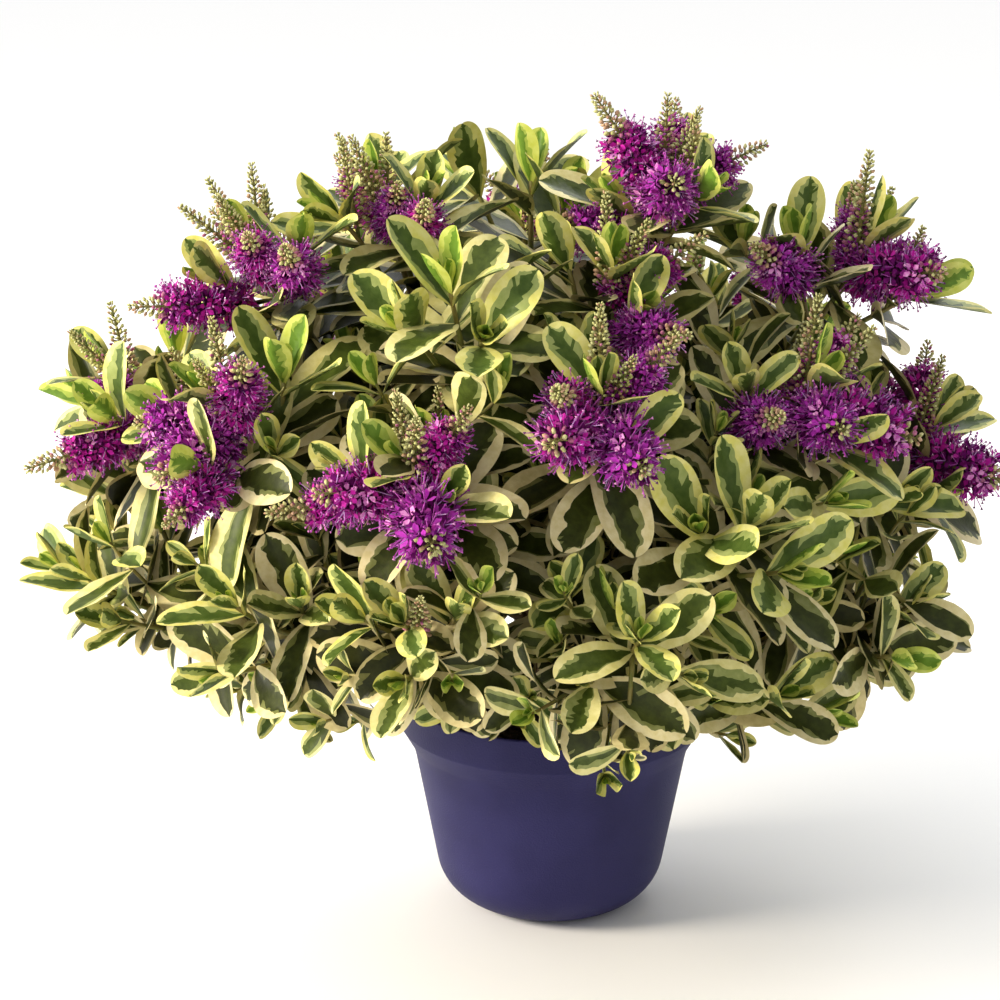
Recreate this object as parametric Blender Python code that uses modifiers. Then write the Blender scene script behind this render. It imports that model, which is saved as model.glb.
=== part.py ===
# A potted flowering hebe: pot, compost, a short trunk, one bough for each mass of foliage, and the masses.
# Metres, +Z up. The origin is the centre of the pot's flat underside, and -Y is the plant's front.
import math
import random

import bmesh
import bpy
from mathutils import Matrix, Vector
from mathutils.bvhtree import BVHTree

UP = Vector((0, 0, 1))
CLEAR = 0.0003  # between solids that would touch
WELD = 0.0000002  # within which the corners of a fused body are one
SOUND_WELD = 0.0000015  # a fused body stays whole when its corners this near are made one
CAP_WELD = 0.000001  # joins a limb's loose end caps to it
CREASE = math.radians(40)  # edges sharper than this stay crisp

# Pot: a moulded shell with an upright collar above a tapering wall.
POT_HEIGHT = 0.110
RIM_RADIUS = 0.075
COLLAR_FOOT_Z = 0.093  # where the upright collar starts to step in
WALL_TOP_Z = 0.0815
WALL_TOP_RADIUS = 0.068
WALL_FOOT_RADIUS = 0.0527  # where the wall's line would meet the table
CORNER_RADIUS = 0.026
POT_WALL = 0.0014
POT_STEPS = 24
TURN_WELD = 0.00001
CORNER_STEPS = 4
NOTCH_COUNT = 4
NOTCH_WIDTH = 0.024
NOTCH_HEIGHT = 0.0012
NOTCH_INNER_RADIUS = 0.021

# Compost, filled to a little below the rim.
COMPOST_TOP_Z = 0.098
COMPOST_CROWN = 0.002
COMPOST_FLAT_RADIUS = 0.021  # of the level middle that the trunk stands on

# Trunk: from its flat foot on the compost up through the middle of the crown.
TRUNK_FOOT_Z = COMPOST_TOP_Z + COMPOST_CROWN + CLEAR
TRUNK_HEIGHT = 0.085
TRUNK_FLARE_RADIUS = 0.013
TRUNK_WAIST_RADIUS = 0.0085
TRUNK_TIP_RADIUS = 0.0038
TRUNK_LEAN = Vector((-0.006, 0.003, 0))
TRUNK_SIDES = 9
FLARE_SHARE = 0.16  # of the trunk's height
TRUNK_SHARES = (0, 0.03, 0.07, 0.12, 0.2, 0.4, 0.6, 0.8, 0.95, 1)  # where its rings of points are
TRUNK_END_SHARE = 0.6  # of the tip's radius, at the top end's small face

# Boughs.
BOUGH_SIDES = 5
BOUGH_ROOT_RADIUS = 0.0028
BOUGH_TIP_RADIUS = 0.0020
BOUGH_STEPS = 4
LOWEST_BOUGH_UP_TRUNK = 0.20  # as a share of the trunk's height
HIGHEST_BOUGH_UP_TRUNK = 0.93
LEAST_START_CLIMB = 6
START_CLIMB_SHARE = 0.75
BARE_SHARE = 0.42  # of the way to the tip, at least, that a limb is bare
SEAT_STEP = 0.0001  # by which a bough's root is brought in until it all but touches the trunk
LIMB_MARGIN = 0.005  # that a limb is inside its own space before its foliage starts
LINE_STEPS = 48
UPRIGHT = 0.05  # the sine of the angle within which a limb counts as upright

# Masses: the heading and climb of each one's middle shoot tip from CROWN_HEART in degrees, its reach in
# metres, the number of its shoots, and the number of its flower spikes.
CROWN_HEART = Vector((0, 0, 0.125))
MASSES = {
    "top_right": (-34, 76, 0.258, 4, 6),
    "right_top": (-4, 55, 0.258, 4, 5),
    "far_right": (0, 33, 0.219, 4, 4),
    "right_mid": (-36, 48, 0.217, 4, 5),
    "right_low": (-23, 16, 0.186, 4, 0),
    "right_front": (-57, 35, 0.192, 4, 0),
    "bottom_right": (-48, 9, 0.156, 3, 0),
    "centre": (-81, 51, 0.216, 3, 4),
    "centre_upper": (-71, 69, 0.226, 3, 3),
    "front_right": (-77, 22, 0.183, 4, 0),
    "top_mid": (116, 84, 0.252, 3, 1),
    "mid_upper": (-113, 61, 0.236, 4, 0),
    "centre_left": (-113, 41, 0.212, 4, 4),
    "front_left": (-111, 23, 0.190, 4, 1),
    "top_left": (-157, 70, 0.254, 4, 5),
    "upper_left": (-161, 56, 0.262, 4, 5),
    "left": (-146, 41, 0.238, 4, 5),
    "left_front": (-138, 20, 0.200, 4, 0),
    "far_left": (-173, 36, 0.258, 4, 4),
    "left_low": (-164, 15, 0.232, 4, 0),
    "back_top": (94, 62, 0.232, 4, 3),
    "back_right": (42, 46, 0.220, 4, 3),
    "back_right_low": (34, 15, 0.192, 4, 0),
    "back_mid": (86, 36, 0.206, 4, 2),
    "back_low": (84, 11, 0.180, 3, 0),
    "back_left": (137, 49, 0.232, 4, 3),
    "back_left_low": (136, 15, 0.206, 4, 0),
}
FIRST_SEED = 11
LEAF_SEED_STEP = 500
CELL_CENTRE_DEPTH = 0.030  # of a mass's own space, behind its middle tip
SPREAD_SHARE = 0.38  # of the way to the nearest other mass's middle, by which its shoots spread
LEAST_TIP_CLIMB = 30
TIP_CLIMB_SHARE = 0.62
DOME_DROP = 0.30  # how far the outer tips of a mass fall back, per metre of spread
SHOOT_SPLAY = 0.75
RING_UNEVEN = 0.14
TIP_STAGGER = 0.010
FIRST_FORK = 0.12  # along the stem, as a share of it
FORK_STEP = 0.13
FORK_PULL = 0.7

# Shoots and leaves, in opposite pairs that turn a right angle from one pair to the next. Each pair has its
# distance below the tip, its leaves' length and their angle to the shoot in degrees.
TWIG_SIDES = 3
TWIG_RADIUS = 0.0020
TWIG_TIP_RADIUS = 0.0012
TWIG_STEPS = 2
SIDE_TWIG_SHARE = 0.8
LEAF_PAIRS = (
    (0.003, 0.038, 27),
    (0.014, 0.056, 60),
    (0.035, 0.057, 84),
)
LEAF_WIDTH_SHARE = 0.48
LEAF_THICK_SHARE = 0.034
LEAF_SIZE_SPREAD = 0.10
LEAF_ANGLE_SPREAD = 9
LEAF_DROOP = 0.16  # of a leaf's length, by which its tip hangs below its line
LEAF_ARCH = 1.8  # how far its middle rises, for its droop
PAIR_STAGGER = 0.0008  # between the roots of a pair, along the shoot
LEAF_SIDES = 6
OBOVATE = 0.24  # how much wider its outer half is
FREE_SHARE = 0.16  # of a leaf, at its root, that may share room with its neighbours
# Turns about the shoot in radians and shares of the size that a leaf is tried at, until it has room.
LEAF_TRIES = ((0, 1), (0.3, 1), (-0.3, 1), (0, 0.8), (0.45, 0.85), (-0.45, 0.85), (0, 0.65), (0.7, 0.75))

# Flower spikes: a soft head of open flowers under a slim tip of buds. Rows of distance along and radius.
SPIKE_LENGTH = 0.058
SPIKE_ROWS = ((1.0, 0.0), (0.72, 0.0045), (0.50, 0.0140), (0.24, 0.0135), (0.0, 0.0))
SPIKE_SIDES = 5
SPIKE_DEPTH = 0.019  # of its root, below the shoot's tip
SPIKE_STEP = 0.003  # further down the shoot for each next one
SPIKE_SPREAD = 0.12
# Turns about the shoot in radians, leans from it in degrees and shares of the size to try a spike at.
SPIKE_TRIES = (
    (0, 42, 1),
    (0.7, 36, 1),
    (-0.7, 36, 1),
    (0, 22, 1),
    (1.4, 30, 0.9),
    (-1.4, 30, 0.9),
    (0, 8, 0.9),
    (2.2, 50, 0.8),
    (-2.2, 50, 0.8),
    (0, 50, 0.7),
)

PART = bpy.data.collections.new("potted_hebe")
CUTTERS = bpy.data.collections.new("cutters")
FUSING = bpy.data.collections.new("fusing")


def clear_scene():
    for thing in list(bpy.data.objects):
        bpy.data.objects.remove(thing, do_unlink=True)
    for collection in (PART, CUTTERS, FUSING):
        bpy.context.scene.collection.children.link(collection)


def material(name, colour, roughness):
    made = bpy.data.materials.new(name)
    made.use_nodes = True
    shader = made.node_tree.nodes["Principled BSDF"]
    shader.inputs["Base Color"].default_value = (*colour, 1)
    shader.inputs["Roughness"].default_value = roughness
    shader.inputs["Metallic"].default_value = 0
    return made


def add_object(name, mesh, collection, *materials):
    made = bpy.data.objects.new(name, mesh)
    for each in materials:
        made.data.materials.append(each)
    collection.objects.link(made)
    return made


def hide(helper):
    helper.hide_render = True
    helper.display_type = "WIRE"


def evaluated_mesh(made):
    """A new mesh of the object with its modifiers and curve bevel, its loose caps welded on."""
    graph = bpy.context.evaluated_depsgraph_get()
    mesh = bpy.data.meshes.new_from_object(made.evaluated_get(graph))
    mesh.transform(made.matrix_world)
    shape = bmesh.new()
    shape.from_mesh(mesh)
    bmesh.ops.remove_doubles(shape, verts=shape.verts, dist=CAP_WELD)
    bmesh.ops.recalc_face_normals(shape, faces=shape.faces)
    shape.to_mesh(mesh)
    shape.free()
    return mesh


def section_of(sides):
    """The outline, one metre in radius, that a limb with this many sides is drawn along its path with."""
    name = f"section_{sides}"
    if name in bpy.data.objects:
        return bpy.data.objects[name]
    outline = bpy.data.curves.new(name, "CURVE")
    outline.dimensions = "2D"
    spline = outline.splines.new("POLY")
    spline.points.add(sides - 1)
    spline.use_cyclic_u = True
    for index, point in enumerate(spline.points):
        angle = -2 * math.pi * index / sides
        point.co = (math.cos(angle), math.sin(angle), 0, 1)
    made = bpy.data.objects.new(name, outline)
    CUTTERS.objects.link(made)
    hide(made)
    return made


def limb_mesh(path, radii, sides):
    """A closed tapering limb along a path."""
    curve = bpy.data.curves.new("limb", "CURVE")
    curve.dimensions = "3D"
    curve.bevel_mode = "OBJECT"
    curve.bevel_object = section_of(sides)
    curve.use_fill_caps = True
    spline = curve.splines.new("POLY")
    spline.points.add(len(path) - 1)
    for point, place, radius in zip(spline.points, path, radii):
        point.co = (*place, 1)
        point.radius = radius
    made = bpy.data.objects.new("limb", curve)
    CUTTERS.objects.link(made)
    mesh = evaluated_mesh(made)
    bpy.data.objects.remove(made)
    return mesh


def smooth(mesh):
    mesh.shade_smooth()
    mesh.set_sharp_from_angle(angle=CREASE)
    return mesh


def direction(heading, climb):
    heading, climb = math.radians(heading), math.radians(climb)
    flat = math.cos(climb)
    return Vector((flat * math.cos(heading), flat * math.sin(heading), math.sin(climb)))


def bend(start, start_way, end, end_way, count):
    """Points along a smooth curve that leaves start along start_way and arrives at end along end_way."""
    pull = (end - start).length
    points = []
    for index in range(count + 1):
        t = index / count
        points.append(
            (2 * t**3 - 3 * t**2 + 1) * start
            + (t**3 - 2 * t**2 + t) * pull * start_way
            + (3 * t**2 - 2 * t**3) * end
            + (t**3 - t**2) * pull * end_way
        )
    return points


def taper(first, last, count):
    return [first + (last - first) * index / count for index in range(count + 1)]


def pot_outline():
    """The pot's outer outline, from the rim down to the edge of its flat underside."""
    rows = [(RIM_RADIUS, POT_HEIGHT), (RIM_RADIUS, COLLAR_FOOT_Z), (WALL_TOP_RADIUS, WALL_TOP_Z)]
    lean = math.atan2(WALL_TOP_RADIUS - WALL_FOOT_RADIUS, WALL_TOP_Z)
    middle_radius = WALL_FOOT_RADIUS - CORNER_RADIUS * math.tan((math.pi / 2 - lean) / 2)
    for index in range(CORNER_STEPS + 1):
        angle = -lean - (math.pi / 2 - lean) * index / CORNER_STEPS
        radius = middle_radius + CORNER_RADIUS * math.cos(angle)
        rows.append((radius, CORNER_RADIUS * (1 + math.sin(angle))))
    return rows


def turned_object(name, rows, collection, *materials):
    """A closed solid turned about Z from rows of radius and height, from the top down its outer side."""
    mesh = bpy.data.meshes.new(name)
    edges = [(index, index + 1) for index in range(len(rows) - 1)]
    mesh.from_pydata([(radius, 0, height) for radius, height in rows], edges, [])
    made = add_object(name, mesh, collection, *materials)
    screw = made.modifiers.new("turn", "SCREW")
    screw.steps = POT_STEPS
    screw.render_steps = POT_STEPS
    screw.use_merge_vertices = True
    screw.merge_threshold = TURN_WELD
    return made


def inside_of_pot(depth):
    """The rows of the pot's outline set in by this much, from below its rim down."""
    rows = [(radius - depth, max(height, depth)) for radius, height in pot_outline()[1:]]
    rows[1] = (WALL_TOP_RADIUS - depth, WALL_TOP_Z + depth / 2)
    return rows


def make_pot(finish):
    outer = pot_outline()
    inner = [(RIM_RADIUS - POT_WALL, POT_HEIGHT), *inside_of_pot(POT_WALL)]
    pot = turned_object("pot", outer + [(0, 0), (0, POT_WALL)] + inner[::-1] + [outer[0]], PART, finish)
    for index in range(NOTCH_COUNT):
        angle = 2 * math.pi * index / NOTCH_COUNT - math.pi / 2
        shape = bmesh.new()
        reach = Vector((CORNER_RADIUS, NOTCH_WIDTH, 2 * NOTCH_HEIGHT))
        bmesh.ops.create_cube(shape, size=1, matrix=Matrix.Diagonal(reach).to_4x4())
        mesh = bpy.data.meshes.new("notch")
        shape.to_mesh(mesh)
        shape.free()
        cutter = add_object(f"notch_cutter_{index + 1}", mesh, CUTTERS)
        middle = NOTCH_INNER_RADIUS + CORNER_RADIUS / 2
        cutter.matrix_world = Matrix.Rotation(angle, 4, "Z") @ Matrix.Translation((middle, 0, 0))
        hide(cutter)
        cut = pot.modifiers.new(cutter.name, "BOOLEAN")
        cut.operation = "DIFFERENCE"
        cut.object = cutter
    return pot


def make_compost(finish):
    gap = POT_WALL + CLEAR
    middle_z = COMPOST_TOP_Z + COMPOST_CROWN
    rows = [(0, middle_z), (COMPOST_FLAT_RADIUS, middle_z), (RIM_RADIUS - gap, COMPOST_TOP_Z)]
    return turned_object("compost", [*rows, *inside_of_pot(gap), (0, gap)], PART, finish)


def trunk_point(share):
    return Vector((0, 0, TRUNK_FOOT_Z)) + TRUNK_LEAN * share**1.5 + UP * TRUNK_HEIGHT * share


def trunk_radius(share):
    """The trunk's radius, with its flare at the foot and its taper to the tip."""
    shaft = TRUNK_WAIST_RADIUS + (TRUNK_TIP_RADIUS - TRUNK_WAIST_RADIUS) * share
    flare = max(0, 1 - share / FLARE_SHARE)
    return shaft + (TRUNK_FLARE_RADIUS - TRUNK_WAIST_RADIUS) * flare**2


def trunk_mesh(extra=0.0):
    """The trunk, thicker by this much all round."""
    path = [trunk_point(share) for share in TRUNK_SHARES]
    radii = [trunk_radius(share) for share in TRUNK_SHARES]
    radii[-1] *= TRUNK_END_SHARE
    return limb_mesh(path, [radius + extra for radius in radii], TRUNK_SIDES)


class Mass:
    """One mass of foliage: its place, its limb from the trunk, and the space it keeps to."""

    def __init__(self, name, seed, up_trunk, heading, climb, reach, shoots, spikes):
        self.name = name
        self.seed = seed
        self.shoots = shoots
        self.spikes = spikes
        self.out = direction(heading, climb)
        self.tip = CROWN_HEART + self.out * reach
        self.way = direction(heading, LEAST_TIP_CLIMB + TIP_CLIMB_SHARE * climb)
        self.centre = self.tip - self.out * CELL_CENTRE_DEPTH
        self.start_way = direction(heading, LEAST_START_CLIMB + START_CLIMB_SHARE * climb)
        self.fork = trunk_point(up_trunk)
        self.side = direction(heading, 0)
        self.grow_line(trunk_radius(up_trunk) + CLEAR + BOUGH_ROOT_RADIUS * self.start_way.z)

    def grow_line(self, off):
        """The whole limb's line to the middle tip, from a root this far from the trunk's own line."""
        self.off = off
        self.line = bend(self.fork + self.side * off, self.start_way, self.tip, self.way, LINE_STEPS)

    def seat(self, masses, thick_trunk):
        """Brings the root in until the bough all but touches the trunk."""
        self.settle(masses)
        while not thick_trunk.overlap(tree_of(bough_mesh(self))):
            self.grow_line(self.off - SEAT_STEP)
            self.settle(masses)
        self.grow_line(self.off + SEAT_STEP)
        self.settle(masses)

    def settle(self, masses):
        """Sets how far the shoots spread, and ends the bough where the rest of its line is in the space."""
        others = [(other.centre - self.centre).length for other in masses if other is not self]
        self.spread = SPREAD_SHARE * min(others)
        inside = [in_space(point, self, masses, LIMB_MARGIN) for point in self.line]
        entry = max([index for index, kept in enumerate(inside) if not kept], default=0) + 1
        entry = max(entry, int(BARE_SHARE * len(self.line)))
        way = (self.line[entry + 1] - self.line[entry - 1]).normalized()
        self.bough_end = self.line[entry] - way * CLEAR / 2
        self.stem_start = self.line[entry] + way * CLEAR / 2
        self.entry = entry


def planned_masses():
    """The masses, whose boughs leave the trunk one above the other in the order of their climb."""
    by_climb = sorted(MASSES, key=lambda name: MASSES[name][1])
    rise = (HIGHEST_BOUGH_UP_TRUNK - LOWEST_BOUGH_UP_TRUNK) / (len(by_climb) - 1)
    return [
        Mass(name, seed, LOWEST_BOUGH_UP_TRUNK + rise * by_climb.index(name), *sizes)
        for seed, (name, sizes) in enumerate(MASSES.items(), FIRST_SEED)
    ]


def in_space(point, mass, masses, margin):
    """Whether a point is nearer to this mass's centre than to any other's, and clear of the border."""
    for other in masses:
        if other is mass:
            continue
        across = other.centre - mass.centre
        middle = (other.centre + mass.centre) / 2
        if (point - middle).dot(across.normalized()) > -margin:
            return False
    return True


def thinned(points, first, last, count):
    """Some of the points, evenly spaced, between two given ends."""
    inner = [points[round(index * (len(points) - 1) / count)] for index in range(1, count)]
    return [first, *inner, last]


def bough_path(mass):
    return thinned(mass.line[: mass.entry], mass.line[0], mass.bough_end, BOUGH_STEPS)


def bough_mesh(mass, extra=0.0):
    """The mass's bough, thicker by this much all round."""
    radii = taper(BOUGH_ROOT_RADIUS + extra, BOUGH_TIP_RADIUS + extra, BOUGH_STEPS)
    return limb_mesh(bough_path(mass), radii, BOUGH_SIDES)


def sides_of(way):
    """Two directions square to the given one."""
    across = way.cross(UP)
    if across.length < UPRIGHT:
        across = way.cross(Vector((0, 1, 0)))
    across.normalize()
    return across, across.cross(way).normalized()


def shoot_paths(mass):
    """The mass's shoots: its stem first, then those that leave the stem and fan out round its tip."""
    chance = random.Random(mass.seed)
    across, upward = sides_of(mass.way)
    stem = [mass.stem_start, *mass.line[mass.entry + 1 :]]
    turn = chance.uniform(0, 2 * math.pi)
    paths = [thinned(stem, stem[0], stem[-1], TWIG_STEPS + 1)]
    around = mass.shoots - 1
    for index in range(around):
        angle = turn + (index + chance.uniform(-RING_UNEVEN, RING_UNEVEN)) * 2 * math.pi / around
        aside = across * math.cos(angle) + upward * math.sin(angle)
        ring = mass.spread * chance.uniform(1 - RING_UNEVEN, 1 + RING_UNEVEN)
        back = DOME_DROP * ring + chance.uniform(0, TIP_STAGGER)
        tip = mass.tip + aside * ring - mass.way * back
        way = (mass.way + aside * SHOOT_SPLAY).normalized()
        fork = stem[round(len(stem) * (FIRST_FORK + FORK_STEP * index))]
        start_way = (mass.way + aside).normalized()
        paths.append(bend(fork, start_way * FORK_PULL, tip, way, TWIG_STEPS))
    return paths


def point_below_tip(path, depth):
    """A place on the shoot at this distance from its tip, and the way that the shoot runs there."""
    left = depth
    for index in range(len(path) - 1, 0, -1):
        span = path[index] - path[index - 1]
        if left <= span.length or index == 1:
            return path[index] - span.normalized() * left, span.normalized()
        left -= span.length


def frame_matrix(origin, across, along, normal):
    matrix = Matrix((across, along, normal)).transposed().to_4x4()
    matrix.translation = origin
    return matrix


def leaf_mesh(length, droop, place, start=0.0):
    """A leaf as a thin closed blade along its own Y, widest past its middle, with its tip hanging."""
    shape = bmesh.new()
    bmesh.ops.create_uvsphere(shape, u_segments=LEAF_SIDES, v_segments=2, radius=1)
    for vert in shape.verts:
        x, y, z = vert.co
        share = start + (1 - start) * (y + 1) / 2
        half_width = length * LEAF_WIDTH_SHARE / 2 * (1 + OBOVATE * y)
        lift = LEAF_ARCH * droop * share * (1 - share) - droop * share**2
        vert.co = (x * half_width, share * length, z * length * LEAF_THICK_SHARE / 2 + lift * length)
    bmesh.ops.triangulate(shape, faces=shape.faces)
    mesh = bpy.data.meshes.new("leaf")
    shape.to_mesh(mesh)
    shape.free()
    mesh.transform(place)
    return mesh


def spike_mesh(length, place, start=0.0):
    """A flower spike along its own Y, from a fine root through its head to its bud tip."""
    rings = len(SPIKE_ROWS) - 1
    shape = bmesh.new()
    bmesh.ops.create_uvsphere(shape, u_segments=SPIKE_SIDES, v_segments=rings, radius=1)
    for vert in shape.verts:
        x, y, z = vert.co
        share, radius = SPIKE_ROWS[round(math.acos(max(-1, min(1, z))) / math.pi * rings)]
        across = Vector((x, y, 0))
        if radius:
            across = across.normalized() * radius
        vert.co = (across.x, max(share, start) * length, -across.y)
    bmesh.ops.triangulate(shape, faces=shape.faces)
    bmesh.ops.recalc_face_normals(shape, faces=shape.faces)
    mesh = bpy.data.meshes.new("spike")
    shape.to_mesh(mesh)
    shape.free()
    mesh.transform(place)
    for polygon in mesh.polygons:
        polygon.material_index = 1
    return mesh


def tree_of(mesh):
    corners = [vert.co for vert in mesh.vertices]
    return BVHTree.FromPolygons(corners, [polygon.vertices for polygon in mesh.polygons])


def blade_place(base, way, turn, angle, across, upward):
    """The place of a leaf or spike that leaves the shoot's middle at a turn about it and an angle to it."""
    out = across * math.cos(turn) + upward * math.sin(turn)
    along = out * math.sin(angle) + way * math.cos(angle)
    normal = way * math.sin(angle) - out * math.cos(angle)
    return frame_matrix(base, along.cross(normal), along, normal)


class Growth:
    """The pieces of one mass, each tried against the mass's space, the limbs and its own neighbours."""

    def __init__(self, mass, masses, limbs):
        self.mass = mass
        self.masses = masses
        self.limbs = limbs
        self.twigs = []
        self.blades = []
        self.blade_trees = []

    def has_room(self, mesh):
        if not all(in_space(vert.co, self.mass, self.masses, CLEAR) for vert in mesh.vertices):
            return False
        return not self.limbs.overlap(tree_of(mesh))

    def add_twig(self, path, first):
        mesh = limb_mesh(path, taper(first, TWIG_TIP_RADIUS, len(path) - 1), TWIG_SIDES)
        if self.has_room(mesh):
            self.twigs.append((path, mesh, tree_of(mesh)))

    def add_blade(self, mesh, trial, twig):
        """Keeps a leaf or spike if it has room. Only its root may share room with its neighbours."""
        other_twigs = [tree for _, _, tree in self.twigs if tree is not twig[2]]
        trial_tree = tree_of(trial)
        if any(tree.overlap(trial_tree) for tree in self.blade_trees + other_twigs):
            return False
        if not self.has_room(mesh):
            return False
        self.blades.append(mesh)
        self.blade_trees.append(trial_tree)
        return True

    def add_spikes(self, twig, count, chance):
        base, way = point_below_tip(twig[0], SPIKE_DEPTH)
        across, upward = sides_of(way)
        first_turn = chance.uniform(0, 2 * math.pi)
        for index in range(count):
            length = SPIKE_LENGTH * chance.uniform(1 - SPIKE_SPREAD, 1 + SPIKE_SPREAD)
            turn = first_turn + 2 * math.pi * index / count
            root = base - way * SPIKE_STEP * index
            for nudge, lean, share in SPIKE_TRIES:
                place = blade_place(root, way, turn + nudge, math.radians(lean), across, upward)
                mesh = spike_mesh(length * share, place)
                if self.add_blade(mesh, spike_mesh(length * share, place, FREE_SHARE), twig):
                    break

    def add_leaves(self, twig, pairs, chance):
        phase = chance.uniform(0, math.pi)
        for pair, (depth, length, angle) in enumerate(pairs):
            base, way = point_below_tip(twig[0], depth)
            across, upward = sides_of(way)
            for side in (0, 1):
                turn = phase + math.pi * (pair / 2 + side)
                size = length * chance.uniform(1 - LEAF_SIZE_SPREAD, 1 + LEAF_SIZE_SPREAD)
                lean = math.radians(angle + chance.uniform(-LEAF_ANGLE_SPREAD, LEAF_ANGLE_SPREAD))
                root = base - way * PAIR_STAGGER * side
                for nudge, share in LEAF_TRIES:
                    place = blade_place(root, way, turn + nudge, lean, across, upward)
                    mesh = leaf_mesh(size * share, LEAF_DROOP, place)
                    if self.add_blade(mesh, leaf_mesh(size * share, LEAF_DROOP, place, FREE_SHARE), twig):
                        break


def largest_body(shape):
    """Leaves only the largest body's outer skin: sealed hollows are filled and loose scraps dropped."""
    shape.verts.ensure_lookup_table()
    unseen = set(shape.verts)
    bodies = []
    while unseen:
        front = [unseen.pop()]
        body = set(front)
        while front:
            for edge in front.pop().link_edges:
                for vert in edge.verts:
                    if vert in unseen:
                        unseen.discard(vert)
                        body.add(vert)
                        front.append(vert)
        faces = {face for vert in body for face in vert.link_faces}
        volume = sum(
            corners[0].dot(corners[index].cross(corners[index + 1])) / 6
            for corners in ([vert.co for vert in face.verts] for face in faces)
            for index in range(1, len(corners) - 1)
        )
        bodies.append((volume, body))
    bodies.sort(key=lambda found: found[0])
    for _, body in bodies[:-1]:
        bmesh.ops.delete(shape, geom=list(body), context="VERTS")


def joined(meshes, finishes, solver):
    """The union of meshes that run into one another, as a bmesh of its largest body."""
    first, *others = [add_object("piece", mesh.copy(), FUSING, *finishes) for mesh in meshes]
    joining = bpy.data.collections.new("joining")
    for piece in others:
        joining.objects.link(piece)
    union = first.modifiers.new("join", "BOOLEAN")
    union.operation = "UNION"
    union.operand_type = "COLLECTION"
    union.collection = joining
    union.solver = solver
    bpy.context.view_layer.update()
    shape = bmesh.new()
    shape.from_object(first, bpy.context.evaluated_depsgraph_get())
    for piece in (first, *others):
        bpy.data.objects.remove(piece)
    bpy.data.collections.remove(joining)
    bmesh.ops.remove_doubles(shape, verts=shape.verts, dist=WELD)
    bmesh.ops.triangulate(shape, faces=shape.faces)
    largest_body(shape)
    return shape


def weak_places(shape):
    """Where the body's surface meets itself, or would if corners that nearly touch were one."""
    trial = shape.copy()
    bmesh.ops.remove_doubles(trial, verts=trial.verts, dist=SOUND_WELD)
    found = [
        (edge.verts[0].co + edge.verts[1].co) / 2
        for each in (shape, trial)
        for edge in each.edges
        if len(edge.link_faces) != 2
    ]
    trial.free()
    return found


def distance_to(mesh, place):
    return min((vert.co - place).length for vert in mesh.vertices)


def fused(name, twigs, blades, finishes):
    """One closed body of the twigs and blades. A blade is left out where the body would be weak."""
    blades = list(blades)
    while True:
        for solver in ("EXACT", "MANIFOLD"):
            shape = joined(twigs + blades, finishes, solver)
            weak = weak_places(shape)
            if shape.faces and not weak:
                mesh = bpy.data.meshes.new(name)
                shape.to_mesh(mesh)
                shape.free()
                return mesh
            shape.free()
        place = weak[0] if weak else twigs[0].vertices[0].co
        blades.remove(min(blades, key=lambda blade: distance_to(blade, place)))


def make_mass(mass, masses, limbs, finishes):
    growth = Growth(mass, masses, limbs)
    chance = random.Random(mass.seed + LEAF_SEED_STEP)
    for index, path in enumerate(shoot_paths(mass)):
        growth.add_twig(path, TWIG_RADIUS if index == 0 else TWIG_RADIUS * SIDE_TWIG_SHARE)
    count = len(growth.twigs)
    flowering = [(mass.spikes + count - 1 - index) // count for index in range(count)]
    for twig, spikes in zip(growth.twigs, flowering):
        if spikes:
            growth.add_spikes(twig, spikes, chance)
    for twig, spikes in zip(growth.twigs, flowering):
        growth.add_leaves(twig, LEAF_PAIRS[1:] if spikes else LEAF_PAIRS, chance)
    name = f"mass_{mass.name}"
    twig_meshes = [mesh for _, mesh, _ in growth.twigs]
    return add_object(name, fused(name, twig_meshes, growth.blades, finishes), PART, *finishes)


def limb_obstacles(masses, solids):
    """All that foliage grows clear of: the pot, the compost, the trunk, and slightly thicker boughs."""
    shape = bmesh.new()
    for solid in solids:
        shape.from_mesh(evaluated_mesh(solid))
    for mass in masses:
        shape.from_mesh(bough_mesh(mass, 2 * CLEAR))
    tree = BVHTree.FromBMesh(shape)
    shape.free()
    return tree


def main():
    clear_scene()
    plastic = material("blue_violet_plastic", (0.055, 0.046, 0.135), 0.55)
    soil = material("dark_compost", (0.018, 0.012, 0.008), 0.95)
    bark = material("brown_bark", (0.13, 0.085, 0.045), 0.8)
    leaf = material("variegated_leaf", (0.22, 0.27, 0.07), 0.5)
    petal = material("purple_flower", (0.36, 0.012, 0.32), 0.7)
    pot = make_pot(plastic)
    compost = make_compost(soil)
    trunk = add_object("trunk", smooth(trunk_mesh()), PART, bark)
    thick_trunk = tree_of(trunk_mesh(CLEAR))
    masses = planned_masses()
    for mass in masses:
        mass.seat(masses, thick_trunk)
        add_object(f"bough_{mass.name}", smooth(bough_mesh(mass)), PART, bark)
    bpy.context.view_layer.update()
    limbs = limb_obstacles(masses, (pot, compost, trunk))
    for mass in masses:
        make_mass(mass, masses, limbs, (leaf, petal))
    bpy.data.collections.remove(FUSING)


main()
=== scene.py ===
import math
import random

import bpy
import numpy as np
from mathutils import Matrix, Vector, noise
from mathutils.bvhtree import BVHTree


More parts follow.
